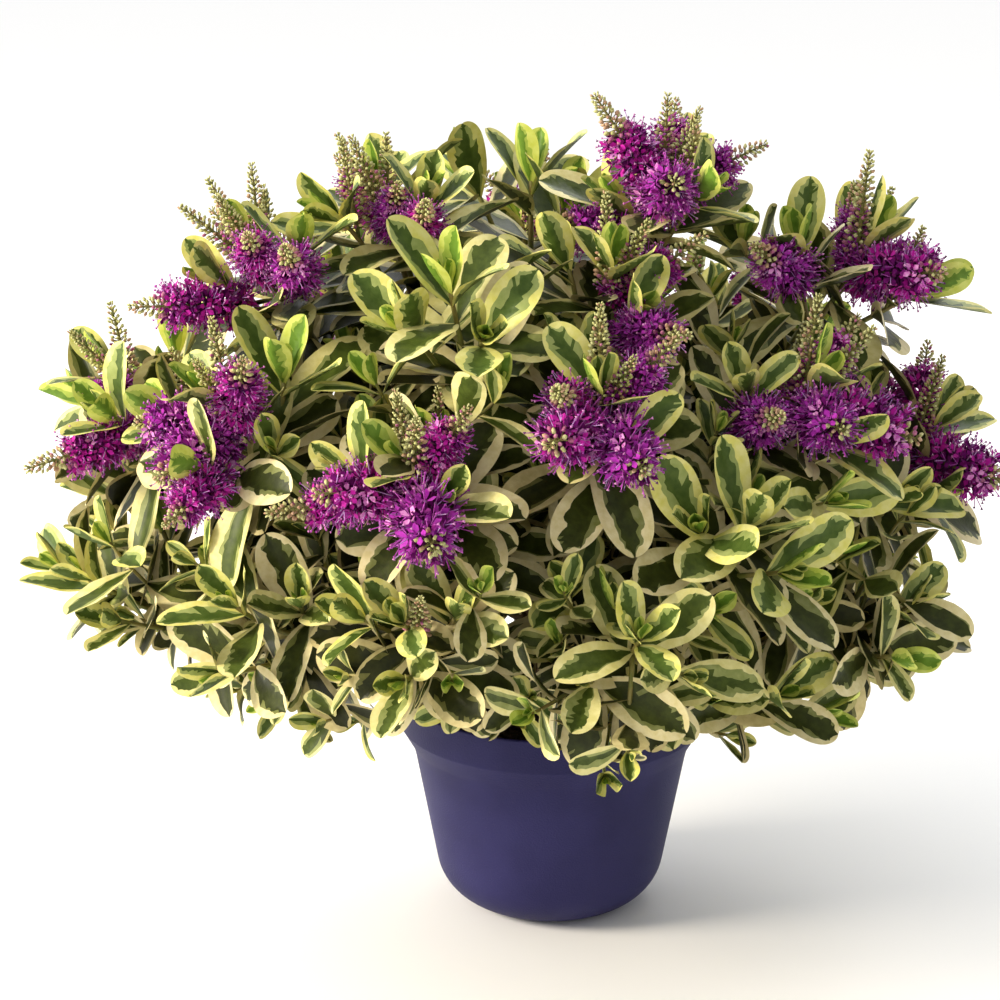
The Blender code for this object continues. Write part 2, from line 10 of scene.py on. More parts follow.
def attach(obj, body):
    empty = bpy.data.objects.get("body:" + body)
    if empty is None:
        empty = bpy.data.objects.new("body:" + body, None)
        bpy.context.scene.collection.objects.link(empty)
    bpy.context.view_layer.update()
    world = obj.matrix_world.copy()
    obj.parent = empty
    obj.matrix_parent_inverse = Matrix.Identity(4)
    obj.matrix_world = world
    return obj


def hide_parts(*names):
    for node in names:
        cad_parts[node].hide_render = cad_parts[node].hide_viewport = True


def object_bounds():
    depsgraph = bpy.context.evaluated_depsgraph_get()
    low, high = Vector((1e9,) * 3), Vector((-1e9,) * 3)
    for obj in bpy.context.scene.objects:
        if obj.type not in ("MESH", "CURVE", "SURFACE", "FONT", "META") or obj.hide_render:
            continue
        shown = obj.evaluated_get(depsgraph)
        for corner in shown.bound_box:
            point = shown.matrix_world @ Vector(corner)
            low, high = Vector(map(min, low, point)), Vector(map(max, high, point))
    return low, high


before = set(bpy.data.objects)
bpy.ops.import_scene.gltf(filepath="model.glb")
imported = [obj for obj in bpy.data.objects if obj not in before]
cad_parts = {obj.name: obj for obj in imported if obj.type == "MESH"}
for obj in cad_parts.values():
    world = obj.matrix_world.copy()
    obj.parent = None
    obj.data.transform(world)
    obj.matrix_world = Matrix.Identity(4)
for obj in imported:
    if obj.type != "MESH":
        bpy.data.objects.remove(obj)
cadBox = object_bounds()
up = Vector((0, 0, 1))

# how the plant grows, the same rule and sizes that its solids follow
limbPlan = {
    "gap": 0.0003,
    "trunkFoot": 0.1003, "trunkHeight": 0.085, "trunkLean": Vector((-0.006, 0.003, 0)),
    "flareRadius": 0.013, "waistRadius": 0.0085, "trunkTipRadius": 0.0038, "flareShare": 0.16,
    "boughRootRadius": 0.0028, "boughTipRadius": 0.0020,
    "lowestUpTrunk": 0.20, "highestUpTrunk": 0.93,
    "leastStartClimb": 6, "startClimbShare": 0.75, "bareShare": 0.42, "margin": 0.005, "steps": 48,
}
# the pot, its sizes in metres
potPlan = {
    "height": 0.110, "rim": 0.075, "collarFoot": 0.093, "wallTopZ": 0.0815, "wallTop": 0.068,
    "wallFoot": 0.0527, "corner": 0.026, "wall": 0.0014, "lip": 0.0011, "collarEdge": 0.002, "sides": 192,
    "wallRows": 12,
    "rimFace": ((-0.0002, 0.013), (0, 0.008)),  # out from the rim's radius, and above the collar's foot
    "shoulder": ((0.0016, 0.0026), (0.0004, 0.0006)),  # out from the wall's top, and above it
    "recess": ((0.024, 0.0), (0.0215, 0.0002), (0.021, 0.0009), (0.0002, 0.0009)),  # below the foot
    "notches": 4, "notchWidth": 0.024, "notchHeight": 0.0012, "notchFrom": 0.0205, "notchTo": 0.045,
    "sharpDegrees": 38,
}
crownHeart = Vector((0, 0, 0.125))
# heading and climb in degrees and reach in metres of each middle tip, its shoots and its flower spikes
masses = {
    "top_right": (-34, 76, 0.258, 4, 10),
    "right_top": (-4, 55, 0.258, 4, 9),
    "far_right": (0, 33, 0.219, 4, 5),
    "right_mid": (-36, 48, 0.217, 4, 8),
    "right_low": (-23, 16, 0.186, 4, 0),
    "right_front": (-57, 35, 0.192, 4, 0),
    "bottom_right": (-48, 9, 0.156, 3, 0),
    "centre": (-81, 51, 0.216, 3, 8),
    "centre_upper": (-71, 69, 0.226, 3, 5),
    "front_right": (-77, 22, 0.183, 4, 0),
    "top_mid": (116, 84, 0.252, 3, 0),
    "mid_upper": (-113, 61, 0.236, 4, 0),
    "centre_left": (-113, 41, 0.212, 4, 8),
    "front_left": (-111, 23, 0.190, 4, 1),
    "top_left": (-157, 70, 0.254, 4, 8),
    "upper_left": (-161, 56, 0.262, 4, 10),
    "left": (-146, 41, 0.238, 4, 8),
    "left_front": (-138, 20, 0.200, 4, 0),
    "far_left": (-173, 36, 0.258, 4, 6),
    "left_low": (-164, 15, 0.232, 4, 0),
    "back_top": (94, 62, 0.232, 4, 6),
    "back_right": (42, 46, 0.220, 4, 6),
    "back_right_low": (34, 15, 0.192, 4, 0),
    "back_mid": (86, 36, 0.206, 4, 5),
    "back_low": (84, 11, 0.180, 3, 0),
    "back_left": (137, 49, 0.232, 4, 6),
    "back_left_low": (136, 15, 0.206, 4, 0),
}
shootPlan = {
    "firstSeed": 11, "cellDepth": 0.030, "spreadShare": 0.38, "leastTipClimb": 30, "tipClimbShare": 0.62,
    "domeDrop": 0.30, "splay": 0.75, "uneven": 0.14, "tipStagger": 0.010,
    "firstFork": 0.12, "forkStep": 0.13, "forkPull": 0.7, "steps": 10, "fewestSteps": 4, "firstLeafStep": 14,
    "radius": 0.0020, "tipRadius": 0.0011, "sideShare": 0.8, "lowScale": 0.84, "middleSpikes": 0.66,
    "cutSteps": {"top_mid": (4, 2), "top_right": (0, 0, 0, 3), "far_right": (0, 0, 0, 2)},  # off each end
}


def direction(heading, climb):
    heading, climb = math.radians(heading), math.radians(climb)
    flat = math.cos(climb)
    return Vector((flat * math.cos(heading), flat * math.sin(heading), math.sin(climb)))


def asArray(points):
    return np.array([tuple(point) for point in points])


def bend(start, startWay, end, endWay, count):  # points along a smooth curve between two ends
    pull = (end - start).length
    points = []
    for index in range(count + 1):
        t = index / count
        points.append(
            (2 * t**3 - 3 * t**2 + 1) * start
            + (t**3 - 2 * t**2 + t) * pull * startWay
            + (3 * t**2 - 2 * t**3) * end
            + (t**3 - t**2) * pull * endWay
        )
    return points


def trunkPoint(share):
    foot = Vector((0, 0, limbPlan["trunkFoot"]))
    return foot + limbPlan["trunkLean"] * share**1.5 + up * limbPlan["trunkHeight"] * share


def trunkRadius(share):
    waist, tip = limbPlan["waistRadius"], limbPlan["trunkTipRadius"]
    flare = max(0, 1 - share / limbPlan["flareShare"])
    return waist + (tip - waist) * share + (limbPlan["flareRadius"] - waist) * flare**2


class Mass:
    def __init__(self, name, seed, upTrunk, heading, climb, reach, shoots, spikes):
        self.name, self.seed, self.shoots, self.spikes = name, seed, shoots, spikes
        self.heading, self.climb, self.reach = heading, climb, reach
        self.out = direction(heading, climb)
        self.tip = crownHeart + self.out * reach
        self.way = direction(heading, shootPlan["leastTipClimb"] + shootPlan["tipClimbShare"] * climb)
        self.centre = self.tip - self.out * shootPlan["cellDepth"]
        startWay = direction(heading, limbPlan["leastStartClimb"] + limbPlan["startClimbShare"] * climb)
        off = trunkRadius(upTrunk) + limbPlan["gap"] + limbPlan["boughRootRadius"] * startWay.z
        root = trunkPoint(upTrunk) + direction(heading, 0) * off
        self.line = bend(root, startWay, self.tip, self.way, limbPlan["steps"])
        self.fork = trunkPoint(upTrunk)

    def settle(self, others):
        self.others = [other for other in others if other is not self]
        self.spread = shootPlan["spreadShare"] * min((o.centre - self.centre).length for o in self.others)
        inside = [self.holds(point, limbPlan["margin"]) for point in self.line]
        entry = max([index for index, kept in enumerate(inside) if not kept], default=0) + 1
        self.entry = max(entry, int(limbPlan["bareShare"] * len(self.line)))

    def holds(self, point, margin):  # whether the point is in this mass's own space
        for other in self.others:
            across = other.centre - self.centre
            if (point - (other.centre + self.centre) / 2).dot(across.normalized()) > -margin:
                return False
        return True


def planMasses():
    byClimb = sorted(masses, key=lambda name: masses[name][1])
    rise = (limbPlan["highestUpTrunk"] - limbPlan["lowestUpTrunk"]) / (len(byClimb) - 1)
    planned = [
        Mass(name, seed, limbPlan["lowestUpTrunk"] + rise * byClimb.index(name), *sizes)
        for seed, (name, sizes) in enumerate(masses.items(), shootPlan["firstSeed"])
    ]
    for mass in planned:
        mass.settle(planned)
    return planned


def sidesOf(way):
    across = way.cross(up)
    if across.length < 0.05:
        across = way.cross(Vector((0, 1, 0)))
    across.normalize()
    return across, across.cross(way).normalized()


def mainShoots(mass):
    plan = shootPlan
    chance = random.Random(mass.seed)
    across, upward = sidesOf(mass.way)
    stem = mass.line[mass.entry:]
    turn = chance.uniform(0, 2 * math.pi)
    paths = [stem]
    around = mass.shoots - 1
    for index in range(around):
        uneven = chance.uniform(-plan["uneven"], plan["uneven"])
        angle = turn + (index + uneven) * 2 * math.pi / around
        aside = across * math.cos(angle) + upward * math.sin(angle)
        ring = mass.spread * chance.uniform(1 - plan["uneven"], 1 + plan["uneven"])
        back = plan["domeDrop"] * ring + chance.uniform(0, plan["tipStagger"])
        tip = mass.tip + aside * ring - mass.way * back
        way = (mass.way + aside * plan["splay"]).normalized()
        fork = stem[round(len(stem) * (plan["firstFork"] + plan["forkStep"] * index))]
        startWay = (mass.way + aside).normalized() * plan["forkPull"]
        paths.append(bend(fork, startWay, tip, way, plan["steps"]))
    return paths


# finer side shoots that fill each mass's space between and below its main ones
sidePlan = {
    "perMass": 7, "lowPerMass": 11, "candidates": 40, "least": 0.024, "lowLeast": 0.020,
    "shell": (0.50, 0.93), "highShell": (0.42, 0.74), "lowShell": (0.60, 1.02), "highClimb": 50,
    "lowClimb": 30, "headings": (-40, 40), "climbs": (-32, 26), "leastClimb": -14, "margin": 0.004,
    "footBack": (0.030, 0.075), "firstFoot": 8, "tipClimbCut": 0.7, "startPull": 0.4, "steps": 8,
    "scale": (0.85, 1.2), "lowScale": (0.68, 0.98), "radius": 0.0013, "tipRadius": 0.0007, "seedStep": 900,
}
# rosettes low down and between the large ones, by mass: heading, climb, reach, scale and, for some, the climb
# that the tip points at
smallShoots = {
    "front_left": ((-94, 12, 0.131, 0.60), (-110, 9, 0.127, 0.72), (-96, 6, 0.117, 0.60)),
    "front_right": ((-88, 29, 0.177, 0.62), (-79, 0, 0.114, 0.58)),
    "left_low": ((-166, 15, 0.245, 1.1, 45), (-158, 21, 0.233, 1.15, 60), (-160, 12, 0.212, 0.62)),
    "left_front": ((-147, 3, 0.155, 0.75), (-139, -2, 0.123, 0.62), (-148, 23, 0.207, 0.8)),
    "right_front": ((-54, 49, 0.189, 0.85),),
    "right_low": ((-36, 28, 0.182, 0.9), (-18, 28, 0.198, 0.9)),
    "right_mid": ((-34, 60, 0.198, 0.85),),
    "centre_left": ((-125, 51, 0.215, 0.9), (-100, 52, 0.214, 0.9)),
    "right_top": ((-13, 67, 0.231, 0.9),),
}


def sidePath(mass, point, heading, climb, chance):
    plan = sidePlan
    footDistance = chance.uniform(*plan["footBack"])
    limbs = mass.line[plan["firstFoot"]:]
    limb = min(limbs, key=lambda p: abs((p - point).length - footDistance) + (p - point).length)
    leastClimb = shootPlan["leastTipClimb"] * plan["tipClimbCut"]
    way = direction(heading, leastClimb + shootPlan["tipClimbShare"] * climb)
    startWay = ((point - limb).normalized() + way * plan["startPull"]).normalized()
    return bend(limb, startWay, point, way, plan["steps"])


def sideShoots(mass, tips):
    plan = sidePlan
    chance = random.Random(mass.seed + plan["seedStep"])
    paths = []
    for heading, climb, reach, scale, *tipClimb in smallShoots.get(mass.name, ()):
        point = crownHeart + direction(heading, climb) * reach
        tips.append(point)
        path = sidePath(mass, point, heading, tipClimb[0] if tipClimb else climb, chance)
        paths.append((path, scale, True))
    low = mass.climb < plan["lowClimb"]
    shell = plan["lowShell" if low else "highShell" if mass.climb > plan["highClimb"] else "shell"]
    for _ in range(plan["lowPerMass" if low else "perMass"]):
        best, bestRoom = None, plan["lowLeast" if low else "least"]
        for _ in range(plan["candidates"]):
            heading = mass.heading + chance.uniform(*plan["headings"])
            climb = mass.climb + chance.uniform(*plan["climbs"])
            point = crownHeart + direction(heading, climb) * mass.reach * chance.uniform(*shell)
            inMass = climb >= plan["leastClimb"] and mass.holds(point, plan["margin"])
            if not inMass or not tipIsClear(point):
                continue
            room = min((point - other).length for other in tips)
            if room > bestRoom:
                best, bestRoom = (point, heading, climb), room
        if not best:
            continue
        point, heading, climb = best
        tips.append(point)
        scale = chance.uniform(*plan["lowScale" if low else "scale"])
        paths.append((sidePath(mass, point, heading, climb, chance), scale, False))
    return paths


def pointBelowTip(path, depth):
    left = depth
    for index in range(len(path) - 1, 0, -1):
        span = path[index] - path[index - 1]
        if left <= span.length:
            return path[index] - span.normalized() * left, span.normalized()
        left -= span.length
    return None, None


# colours and finishes
def hexColour(text):
    parts = [int(text[at:at + 2], 16) / 255 for at in (1, 3, 5)]
    return [c / 12.92 if c <= 0.04045 else ((c + 0.055) / 1.055) ** 2.4 for c in parts] + [1]


def addNode(tree, kind, settings=None, inputs=None):
    node = tree.nodes.new(kind)
    for name, value in (settings or {}).items():
        setattr(node, name, value)
    for name, value in (inputs or {}).items():
        if isinstance(value, bpy.types.NodeSocket):
            tree.links.new(value, node.inputs[name])
        else:
            node.inputs[name].default_value = value
    return node


def newMaterial(name, fixed):
    made = bpy.data.materials.new(name)
    made.use_nodes = True
    shader = made.node_tree.nodes["Principled BSDF"]
    for socket, value in fixed.items():
        shader.inputs[socket].default_value = value
    return made, made.node_tree, shader


def perMillimetre(size):  # a pattern's scale for features this many millimetres across
    return 1000 / size


# each finish: the shader's constants, the mottling's size in mm and detail, and the grain's size in mm,
# height in metres and detail
finishes = {
    # hebe leaf blade with its waxy cuticle: a soft wide sheen, and faint veins and pores
    "leaf": {"shader": {"Roughness": 0.45, "IOR": 1.42, "Specular IOR Level": 0.29},
             "mottling": (4, 3), "grain": (1.2, 0.0002, 2)},
    # fresh petals, stamens and buds: thin, matt and soft, with velvet that catches light at its edge
    "blossom": {"shader": {"Roughness": 0.6, "IOR": 1.36, "Specular IOR Level": 0.25, "Sheen Roughness": 0.5},
                "mottling": (2, 3)},
    # young rough bark: grey-brown, dry and fissured
    "bark": {"shader": {"Roughness": 0.85, "IOR": 1.5}, "mottling": (5, 5), "grain": (0.9, 0.0008, 5)},
    # soft green-brown twig skin, slightly glossy
    "twig": {"shader": {"Roughness": 0.5, "IOR": 1.45}, "mottling": (9, 3), "grain": (0.8, 0.0003, 2)},
    # injection-moulded polypropylene: satin, with a fine grain and faint rings from its mould
    "pot": {"shader": {"Roughness": 0.55, "IOR": 1.49, "Specular IOR Level": 0.18}, "mottling": (38, 2)},
    # damp peat and bark fines: dark, rough and crumbly
    "compost": {"shader": {"Roughness": 0.95, "IOR": 1.4}, "mottling": (3, 6), "grain": (1.6, 0.0015, 6)},
}
mottlingRange = (0.35, 0.65)  # where in the pattern the two colours begin
grainStrength = 0.5


def finished(name, finish, colours, **own):  # a material in two mottled colours, with its grain
    plan = finishes[finish]
    material, tree, shader = newMaterial(name, {**plan["shader"], **own})
    place = addNode(tree, "ShaderNodeTexCoord").outputs["Object"]
    size, detail = plan["mottling"]
    mottling = addNode(tree, "ShaderNodeTexNoise", inputs={
        "Vector": place, "Scale": perMillimetre(size), "Detail": detail})
    ramp = addNode(tree, "ShaderNodeValToRGB", inputs={"Fac": mottling.outputs["Fac"]})
    for element, at, colour in zip(ramp.color_ramp.elements, mottlingRange, colours):
        element.position, element.color = at, hexColour(colour)
    tree.links.new(ramp.outputs["Color"], shader.inputs["Base Color"])
    if "grain" in plan:
        size, height, detail = plan["grain"]
        grain = addNode(tree, "ShaderNodeTexNoise", inputs={
            "Vector": place, "Scale": perMillimetre(size), "Detail": detail})
        bump = addNode(tree, "ShaderNodeBump", inputs={
            "Height": grain.outputs["Fac"], "Strength": grainStrength, "Distance": height})
        tree.links.new(bump.outputs["Normal"], shader.inputs["Normal"])
    return material


# colours from a leaf's margin to its middle, by how young it is and by painted light: lighter sprays for
# leaves high in the crown, darker ones, painted shading, for old ones low down
leafSprays = {
    "lime": (("#c9d25c", "#d6de7a"), ("#9db348", "#afc25a"), ("#5d7f26", "#6f9234")),
    "painted_sunlit": (("#dcd66e", "#e6e090"), ("#8f9c56", "#a0aa66"), ("#3f541c", "#506428")),
    "yellow": (("#d8cf84", "#e6de9c"), ("#838c4c", "#989e60"), ("#3a4815", "#4c5a20")),
    "cream": (("#dacc92", "#e8dcac"), ("#6f743c", "#828652"), ("#2b320c", "#3a4214")),
    "olive": (("#c4b47c", "#d6c890"), ("#5c5c2c", "#6d6c3c"), ("#22260a", "#313410")),
    # the darkest copy of the colours, for old leaves low in the crown: painted shading
    "painted_shade": (("#a09062", "#b4a474"), ("#464422", "#56522e"), ("#1a1c06", "#262609")),
}
leafZones = ("margin", "middle", "heart")


def leafMaterials():  # in the order of the faces' zones, spray by spray
    return [
        finished(f"waxy_leaf_{spray}_{zone}", "leaf", colours)
        for spray, zones in leafSprays.items() for zone, colours in zip(leafZones, zones)
    ]


# two colours, and how much velvet
blossomColours = {
    "petal": ("#a80c8e", "#c41ca0", 0.12),
    "violet_petal": ("#981a98", "#b434b0", 0.12),
    "deep_petal": ("#62045c", "#7e0a74", 0.05),
    "pale_petal": ("#cc62b8", "#e6a4d8", 0.2),
    "filament": ("#a4269c", "#c25cc0", 0.12),
    "pale_filament": ("#b47ccc", "#d4aade", 0.2),
    "anther": ("#5a2a5c", "#8a5488", 0.0),
    "rosy_bud": ("#a04c78", "#c4809a", 0.1),
    "dusty_bud": ("#aa8468", "#ccaa8c", 0.0),
    "green_bud": ("#a8a868", "#d6d49a", 0.0),
    "stalk": ("#66713a", "#8a7a4c", 0.0),
}
blossomKinds = list(blossomColours)


# the rings' spacing and the grain's size in mm, and each one's strength and height in metres
potGrain = {"spacing": 20.1, "ringBump": (0.6, 0.00012), "size": 0.7, "bump": (0.7, 0.0004)}


def potMaterial():
    made = finished("moulded_polypropylene", "pot", ("#25234e", "#2c2a58"))
    tree = made.node_tree
    place = addNode(tree, "ShaderNodeTexCoord").outputs["Object"]
    ringScale = perMillimetre(potGrain["spacing"]) * 2 * math.pi / 20  # bands lie 2 pi / 20 units apart
    rings = addNode(tree, "ShaderNodeTexWave", {"bands_direction": "Z"}, {
        "Vector": place, "Scale": ringScale, "Distortion": 0.4, "Detail": 1})
    strength, height = potGrain["ringBump"]
    ringBump = addNode(tree, "ShaderNodeBump", inputs={
        "Height": rings.outputs["Fac"], "Strength": strength, "Distance": height})
    grain = addNode(tree, "ShaderNodeTexNoise", inputs={
        "Vector": place, "Scale": perMillimetre(potGrain["size"]), "Detail": 1})
    strength, height = potGrain["bump"]
    bump = addNode(tree, "ShaderNodeBump", inputs={
        "Height": grain.outputs["Fac"], "Strength": strength, "Distance": height,
        "Normal": ringBump.outputs["Normal"]})
    tree.links.new(bump.outputs["Normal"], tree.nodes["Principled BSDF"].inputs["Normal"])
    return made


class Heap:  # many small meshes, joined before Blender gets them
    def __init__(self):
        self.points, self.corners, self.sizes, self.slots = [], [], [], []
        self.count, self.triangles = 0, 0

    def add(self, points, faces, slots):
        self.addFaces(faces, slots, self.count)
        self.points.append(points)
        self.count += len(points)

    def addFaces(self, faces, slots, start):  # on points that are in the heap from this one on
        self.corners.append((faces + start).ravel())
        self.sizes.append(np.full(len(faces), faces.shape[1]))
        self.slots.append(np.broadcast_to(slots, len(faces)))
        self.triangles += len(faces) * (faces.shape[1] - 2)

    def addHeap(self, points, other):  # another heap's faces on moved points
        corners, sizes, slots = other
        self.corners.append(corners + self.count)
        self.sizes.append(sizes)
        self.slots.append(slots)
        self.points.append(points)
        self.count += len(points)
        self.triangles += int((sizes - 2).sum())

    def packed(self):
        return np.concatenate(self.points), (
            np.concatenate(self.corners), np.concatenate(self.sizes), np.concatenate(self.slots))


def makePiece(name, heap, materials, nodes=()):
    points, (corners, sizes, slots) = heap.packed()
    mesh = bpy.data.meshes.new(name)
    mesh.vertices.add(len(points))
    mesh.vertices.foreach_set("co", points.astype(np.float32).ravel())
    mesh.loops.add(len(corners))
    mesh.loops.foreach_set("vertex_index", corners.astype(np.int32))
    mesh.polygons.add(len(sizes))
    mesh.polygons.foreach_set("loop_start", (np.cumsum(sizes) - sizes).astype(np.int32))
    mesh.polygons.foreach_set("material_index", slots.astype(np.int32))
    mesh.update(calc_edges=True)
    mesh.validate()
    mesh.shade_smooth()
    for material in materials:
        mesh.materials.append(material)
    piece = bpy.data.objects.new(name, mesh)
    bpy.context.scene.collection.objects.link(piece)
    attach(piece, "root")
    if nodes:
        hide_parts(*nodes)
    print(f"{name}: {heap.triangles} triangles")
    return piece


def spokes(across, upward, sides):  # the ways out from an axis, one for each side
    angles = np.arange(sides) * 2 * np.pi / sides
    return np.cos(angles)[:, None] * across + np.sin(angles)[:, None] * upward


def band(low, high, sides):  # quads between two rings, each given by its first point
    around = np.arange(sides)
    after = (around + 1) % sides
    return np.stack([low + around, low + after, high + after, high + around], 1)


def fan(tip, ring, sides):  # triangles between a tip and a ring
    around = np.arange(sides)
    return np.stack([np.full(sides, tip), ring + around, ring + (around + 1) % sides], 1)


def tube(path, radii, sides, relief=None):
    path = asArray(path)
    ways = np.gradient(path, axis=0)
    ways /= np.linalg.norm(ways, axis=1)[:, None]
    across = np.array(tuple(sidesOf(Vector(ways[0]))[0]))
    rows = []
    for index, (middle, way, radius) in enumerate(zip(path, ways, radii)):
        across = across - way * (across @ way)
        across /= np.linalg.norm(across)
        spoke = spokes(across, np.cross(way, across), sides)
        size = np.full(sides, radius)
        if relief:
            size = size * np.array([relief(index, Vector(middle + s * radius)) for s in spoke])
        rows.append(middle + spoke * size[:, None])
    points = np.concatenate([*rows, path[:1], path[-1:]])
    last = (len(path) - 1) * sides
    quads = np.concatenate([band(start, start + sides, sides) for start in range(0, last, sides)])
    caps = np.concatenate([fan(len(points) - 2, 0, sides)[:, ::-1], fan(len(points) - 1, last, sides)])
    return points, quads, caps


def addTube(heap, path, radii, sides, slot, relief=None, capped=True):
    points, quads, caps = tube(path, radii, sides, relief)
    heap.add(points, quads, slot)
    if capped:
        heap.addFaces(caps, slot, heap.count - len(points))


def resampled(path, count):  # the path again with this many even steps
    path = asArray(path)
    run = np.concatenate([[0], np.cumsum(np.linalg.norm(np.diff(path, axis=0), axis=1))])
    at = np.linspace(0, run[-1], count + 1)
    return [Vector([np.interp(d, run, path[:, k]) for k in range(3)]) for d in at]


# a leaf blade's shape, its length being 1 where no metres are meant, and how it varies
leafPlan = {
    "widthShare": 0.47, "baseTaper": 0.85, "tipTaper": 0.5, "lastRow": 0.995, "rowPull": 1.5, "slant": 0.8,
    "archFrom": 0.1, "stalkWidth": 0.0013, "dish": 0.12, "wave": 0.06, "waves": (6, 11), "phase": (0, 6),
    "fineRows": 24, "plainRows": 10, "columns": 7, "proxyRows": (0.16, 0.34, 0.58, 0.92),
    "lowestDepth": 0.062, "scaledDepth": 0.4, "lift": 0.25, "length": (0.88, 1.10), "turn": 0.12, "lean": 8,
    "youngFold": 0.62, "folds": (0.28, 0.52), "youngCurls": (0.3, 0.6), "curls": (-0.65, 0.3),
    "twists": (-0.4, 0.4), "lastYoung": 1, "lastBright": 2, "lastFine": 4, "firstHeight": 0.10,
}
# the margin's inner border and the dark heart's edge in young, grown and old leaves, as shares of the half
# width and of the border; how often each steps; and how the border fades to the tip and the stalk
borderPlan = {
    "border": (0.46, 0.76), "lean": 0.12, "wobble": 0.06, "limits": (0.15, 0.9), "borderSteps": 0.45,
    "hearts": ((0.25, 0.80), (0.45, 0.95), (0.65, 1.0)), "heartSteps": 0.7,
    "heartRuns": (0.16, 0.34, 0.55), "runSteps": 0.4, "tipFade": (1.03, 0.2, 0.3), "baseFade": (0.5, 3),
}


def leafHalfWidth(t):  # an obovate blade's half width along its length, as a share of its widest
    base, tip = leafPlan["baseTaper"], leafPlan["tipTaper"]
    widest = base / (base + tip)
    return (t / widest) ** base * ((1 - t) / (1 - widest)) ** tip


def inRuns(values, chance, change):  # each value kept for a few rows
    fresh = chance.random(len(values)) < change
    fresh[0] = True
    return values[np.maximum.accumulate(np.where(fresh, np.arange(len(values)), 0))]


def leafSurface(rows, length, fold, curl, twist, heart, chance):  # a blade along +Y, and its faces' zones
    plan = leafPlan
    t = plan["lastRow"] * (1 - (1 - np.linspace(0, 1, rows + 1)) ** plan["rowPull"])
    tipEnd, tipRun, tipLeast = borderPlan["tipFade"]
    baseShare, baseRise = borderPlan["baseFade"]
    ends = np.clip((tipEnd - t) / tipRun, tipLeast, 1) * np.clip(baseShare + baseRise * t, 0, 1)
    columns, heartRuns = [np.zeros(rows + 1)], []
    lean = chance.uniform(-borderPlan["lean"], borderPlan["lean"])
    for side in (-1, 1):
        border = chance.uniform(*borderPlan["border"], rows + 1)
        border = inRuns(border, chance, borderPlan["borderSteps"]) + lean * side
        border[1:-1] = (border[:-2] + 3 * border[1:-1] + border[2:]) / 5
        border += chance.uniform(-borderPlan["wobble"], borderPlan["wobble"], rows + 1)
        border = (border * ends).clip(*borderPlan["limits"])
        shares = chance.uniform(*borderPlan["hearts"][heart], rows + 1)
        inner = border * inRuns(shares, chance, borderPlan["heartSteps"])
        columns = [-border, -inner, *columns] if side < 0 else [*columns, inner, border]
        runs = inRuns(chance.random(rows), chance, borderPlan["runSteps"])
        heartRuns.append(runs < borderPlan["heartRuns"][heart])
    columns = np.stack([-np.ones(rows + 1), *columns, np.ones(rows + 1)], 1)
    t = t[:, None] + plan["slant"] * np.abs(columns) * (t * (1 - t))[:, None]
    half = np.maximum(leafHalfWidth(t) * length * plan["widthShare"], plan["stalkWidth"]) / 2
    x = columns * half
    arch = curl * (t - plan["archFrom"]).clip(0)
    y = length * (np.minimum(t, plan["archFrom"]) + np.sin(arch) / curl)
    z = length * (1 - np.cos(arch)) / curl
    wave = plan["wave"] * np.sin(t * chance.uniform(*plan["waves"]) + chance.uniform(*plan["phase"]))
    lift = half * (fold * np.abs(columns) + (wave - plan["dish"]) * columns**2)
    turn = twist * t
    raised = lift * np.cos(turn) + x * np.sin(turn)
    points = np.stack([
        x * np.cos(turn) - lift * np.sin(turn), y - np.sin(arch) * raised, z + np.cos(arch) * raised,
    ], 2).reshape(-1, 3)
    zones = np.tile([0, 1, 2, 2, 1, 0], (rows, 1))
    zones[heartRuns[0], 1] = 2
    zones[heartRuns[1], 4] = 2
    return points, zones.ravel()


def leafFaces(rows):
    wide = leafPlan["columns"]
    corner = (np.arange(rows)[:, None] * wide + np.arange(wide - 1)).ravel()
    return np.stack([corner, corner + 1, corner + wide + 1, corner + wide], 1)


def turned(way, turn, angle):  # the direction at this angle from the way, turned about it
    across, upward = sidesOf(way)
    return (across * math.cos(turn) + upward * math.sin(turn)) * math.sin(angle) + way * math.cos(angle)


def bladeMatrix(base, way, turn, angle, lift):  # lift turns the upper face a little to the sky
    across, upward = sidesOf(way)
    out = across * math.cos(turn) + upward * math.sin(turn)
    along = out * math.sin(angle) + way * math.cos(angle)
    normal = way * math.sin(angle) - out * math.cos(angle) + up * lift
    normal = (normal - along * normal.dot(along)).normalized()
    matrix = Matrix((along.cross(normal), along, normal)).transposed().to_4x4()
    matrix.translation = base
    return matrix


def moved(points, matrix):
    grid = np.array(matrix)
    return points @ grid[:3, :3].T + grid[:3, 3]


class Crowd:  # what is already in the crown, so that leaves and heads don't run through one another
    def __init__(self):
        self.centres, self.radii, self.trees = np.zeros((0, 3)), np.zeros(0), []

    def free(self, points, faces):
        centre = points.mean(0)
        radius = np.linalg.norm(points - centre, axis=1).max()
        tree = BVHTree.FromPolygons(points.tolist(), faces.tolist())
        near = np.linalg.norm(self.centres - centre, axis=1) < self.radii + radius
        for index in np.nonzero(near)[0]:
            if self.trees[index].overlap(tree):
                return None
        return centre, radius, tree

    def keep(self, found):
        centre, radius, tree = found
        self.centres = np.vstack([self.centres, centre])
        self.radii = np.append(self.radii, radius)
        self.trees.append(tree)


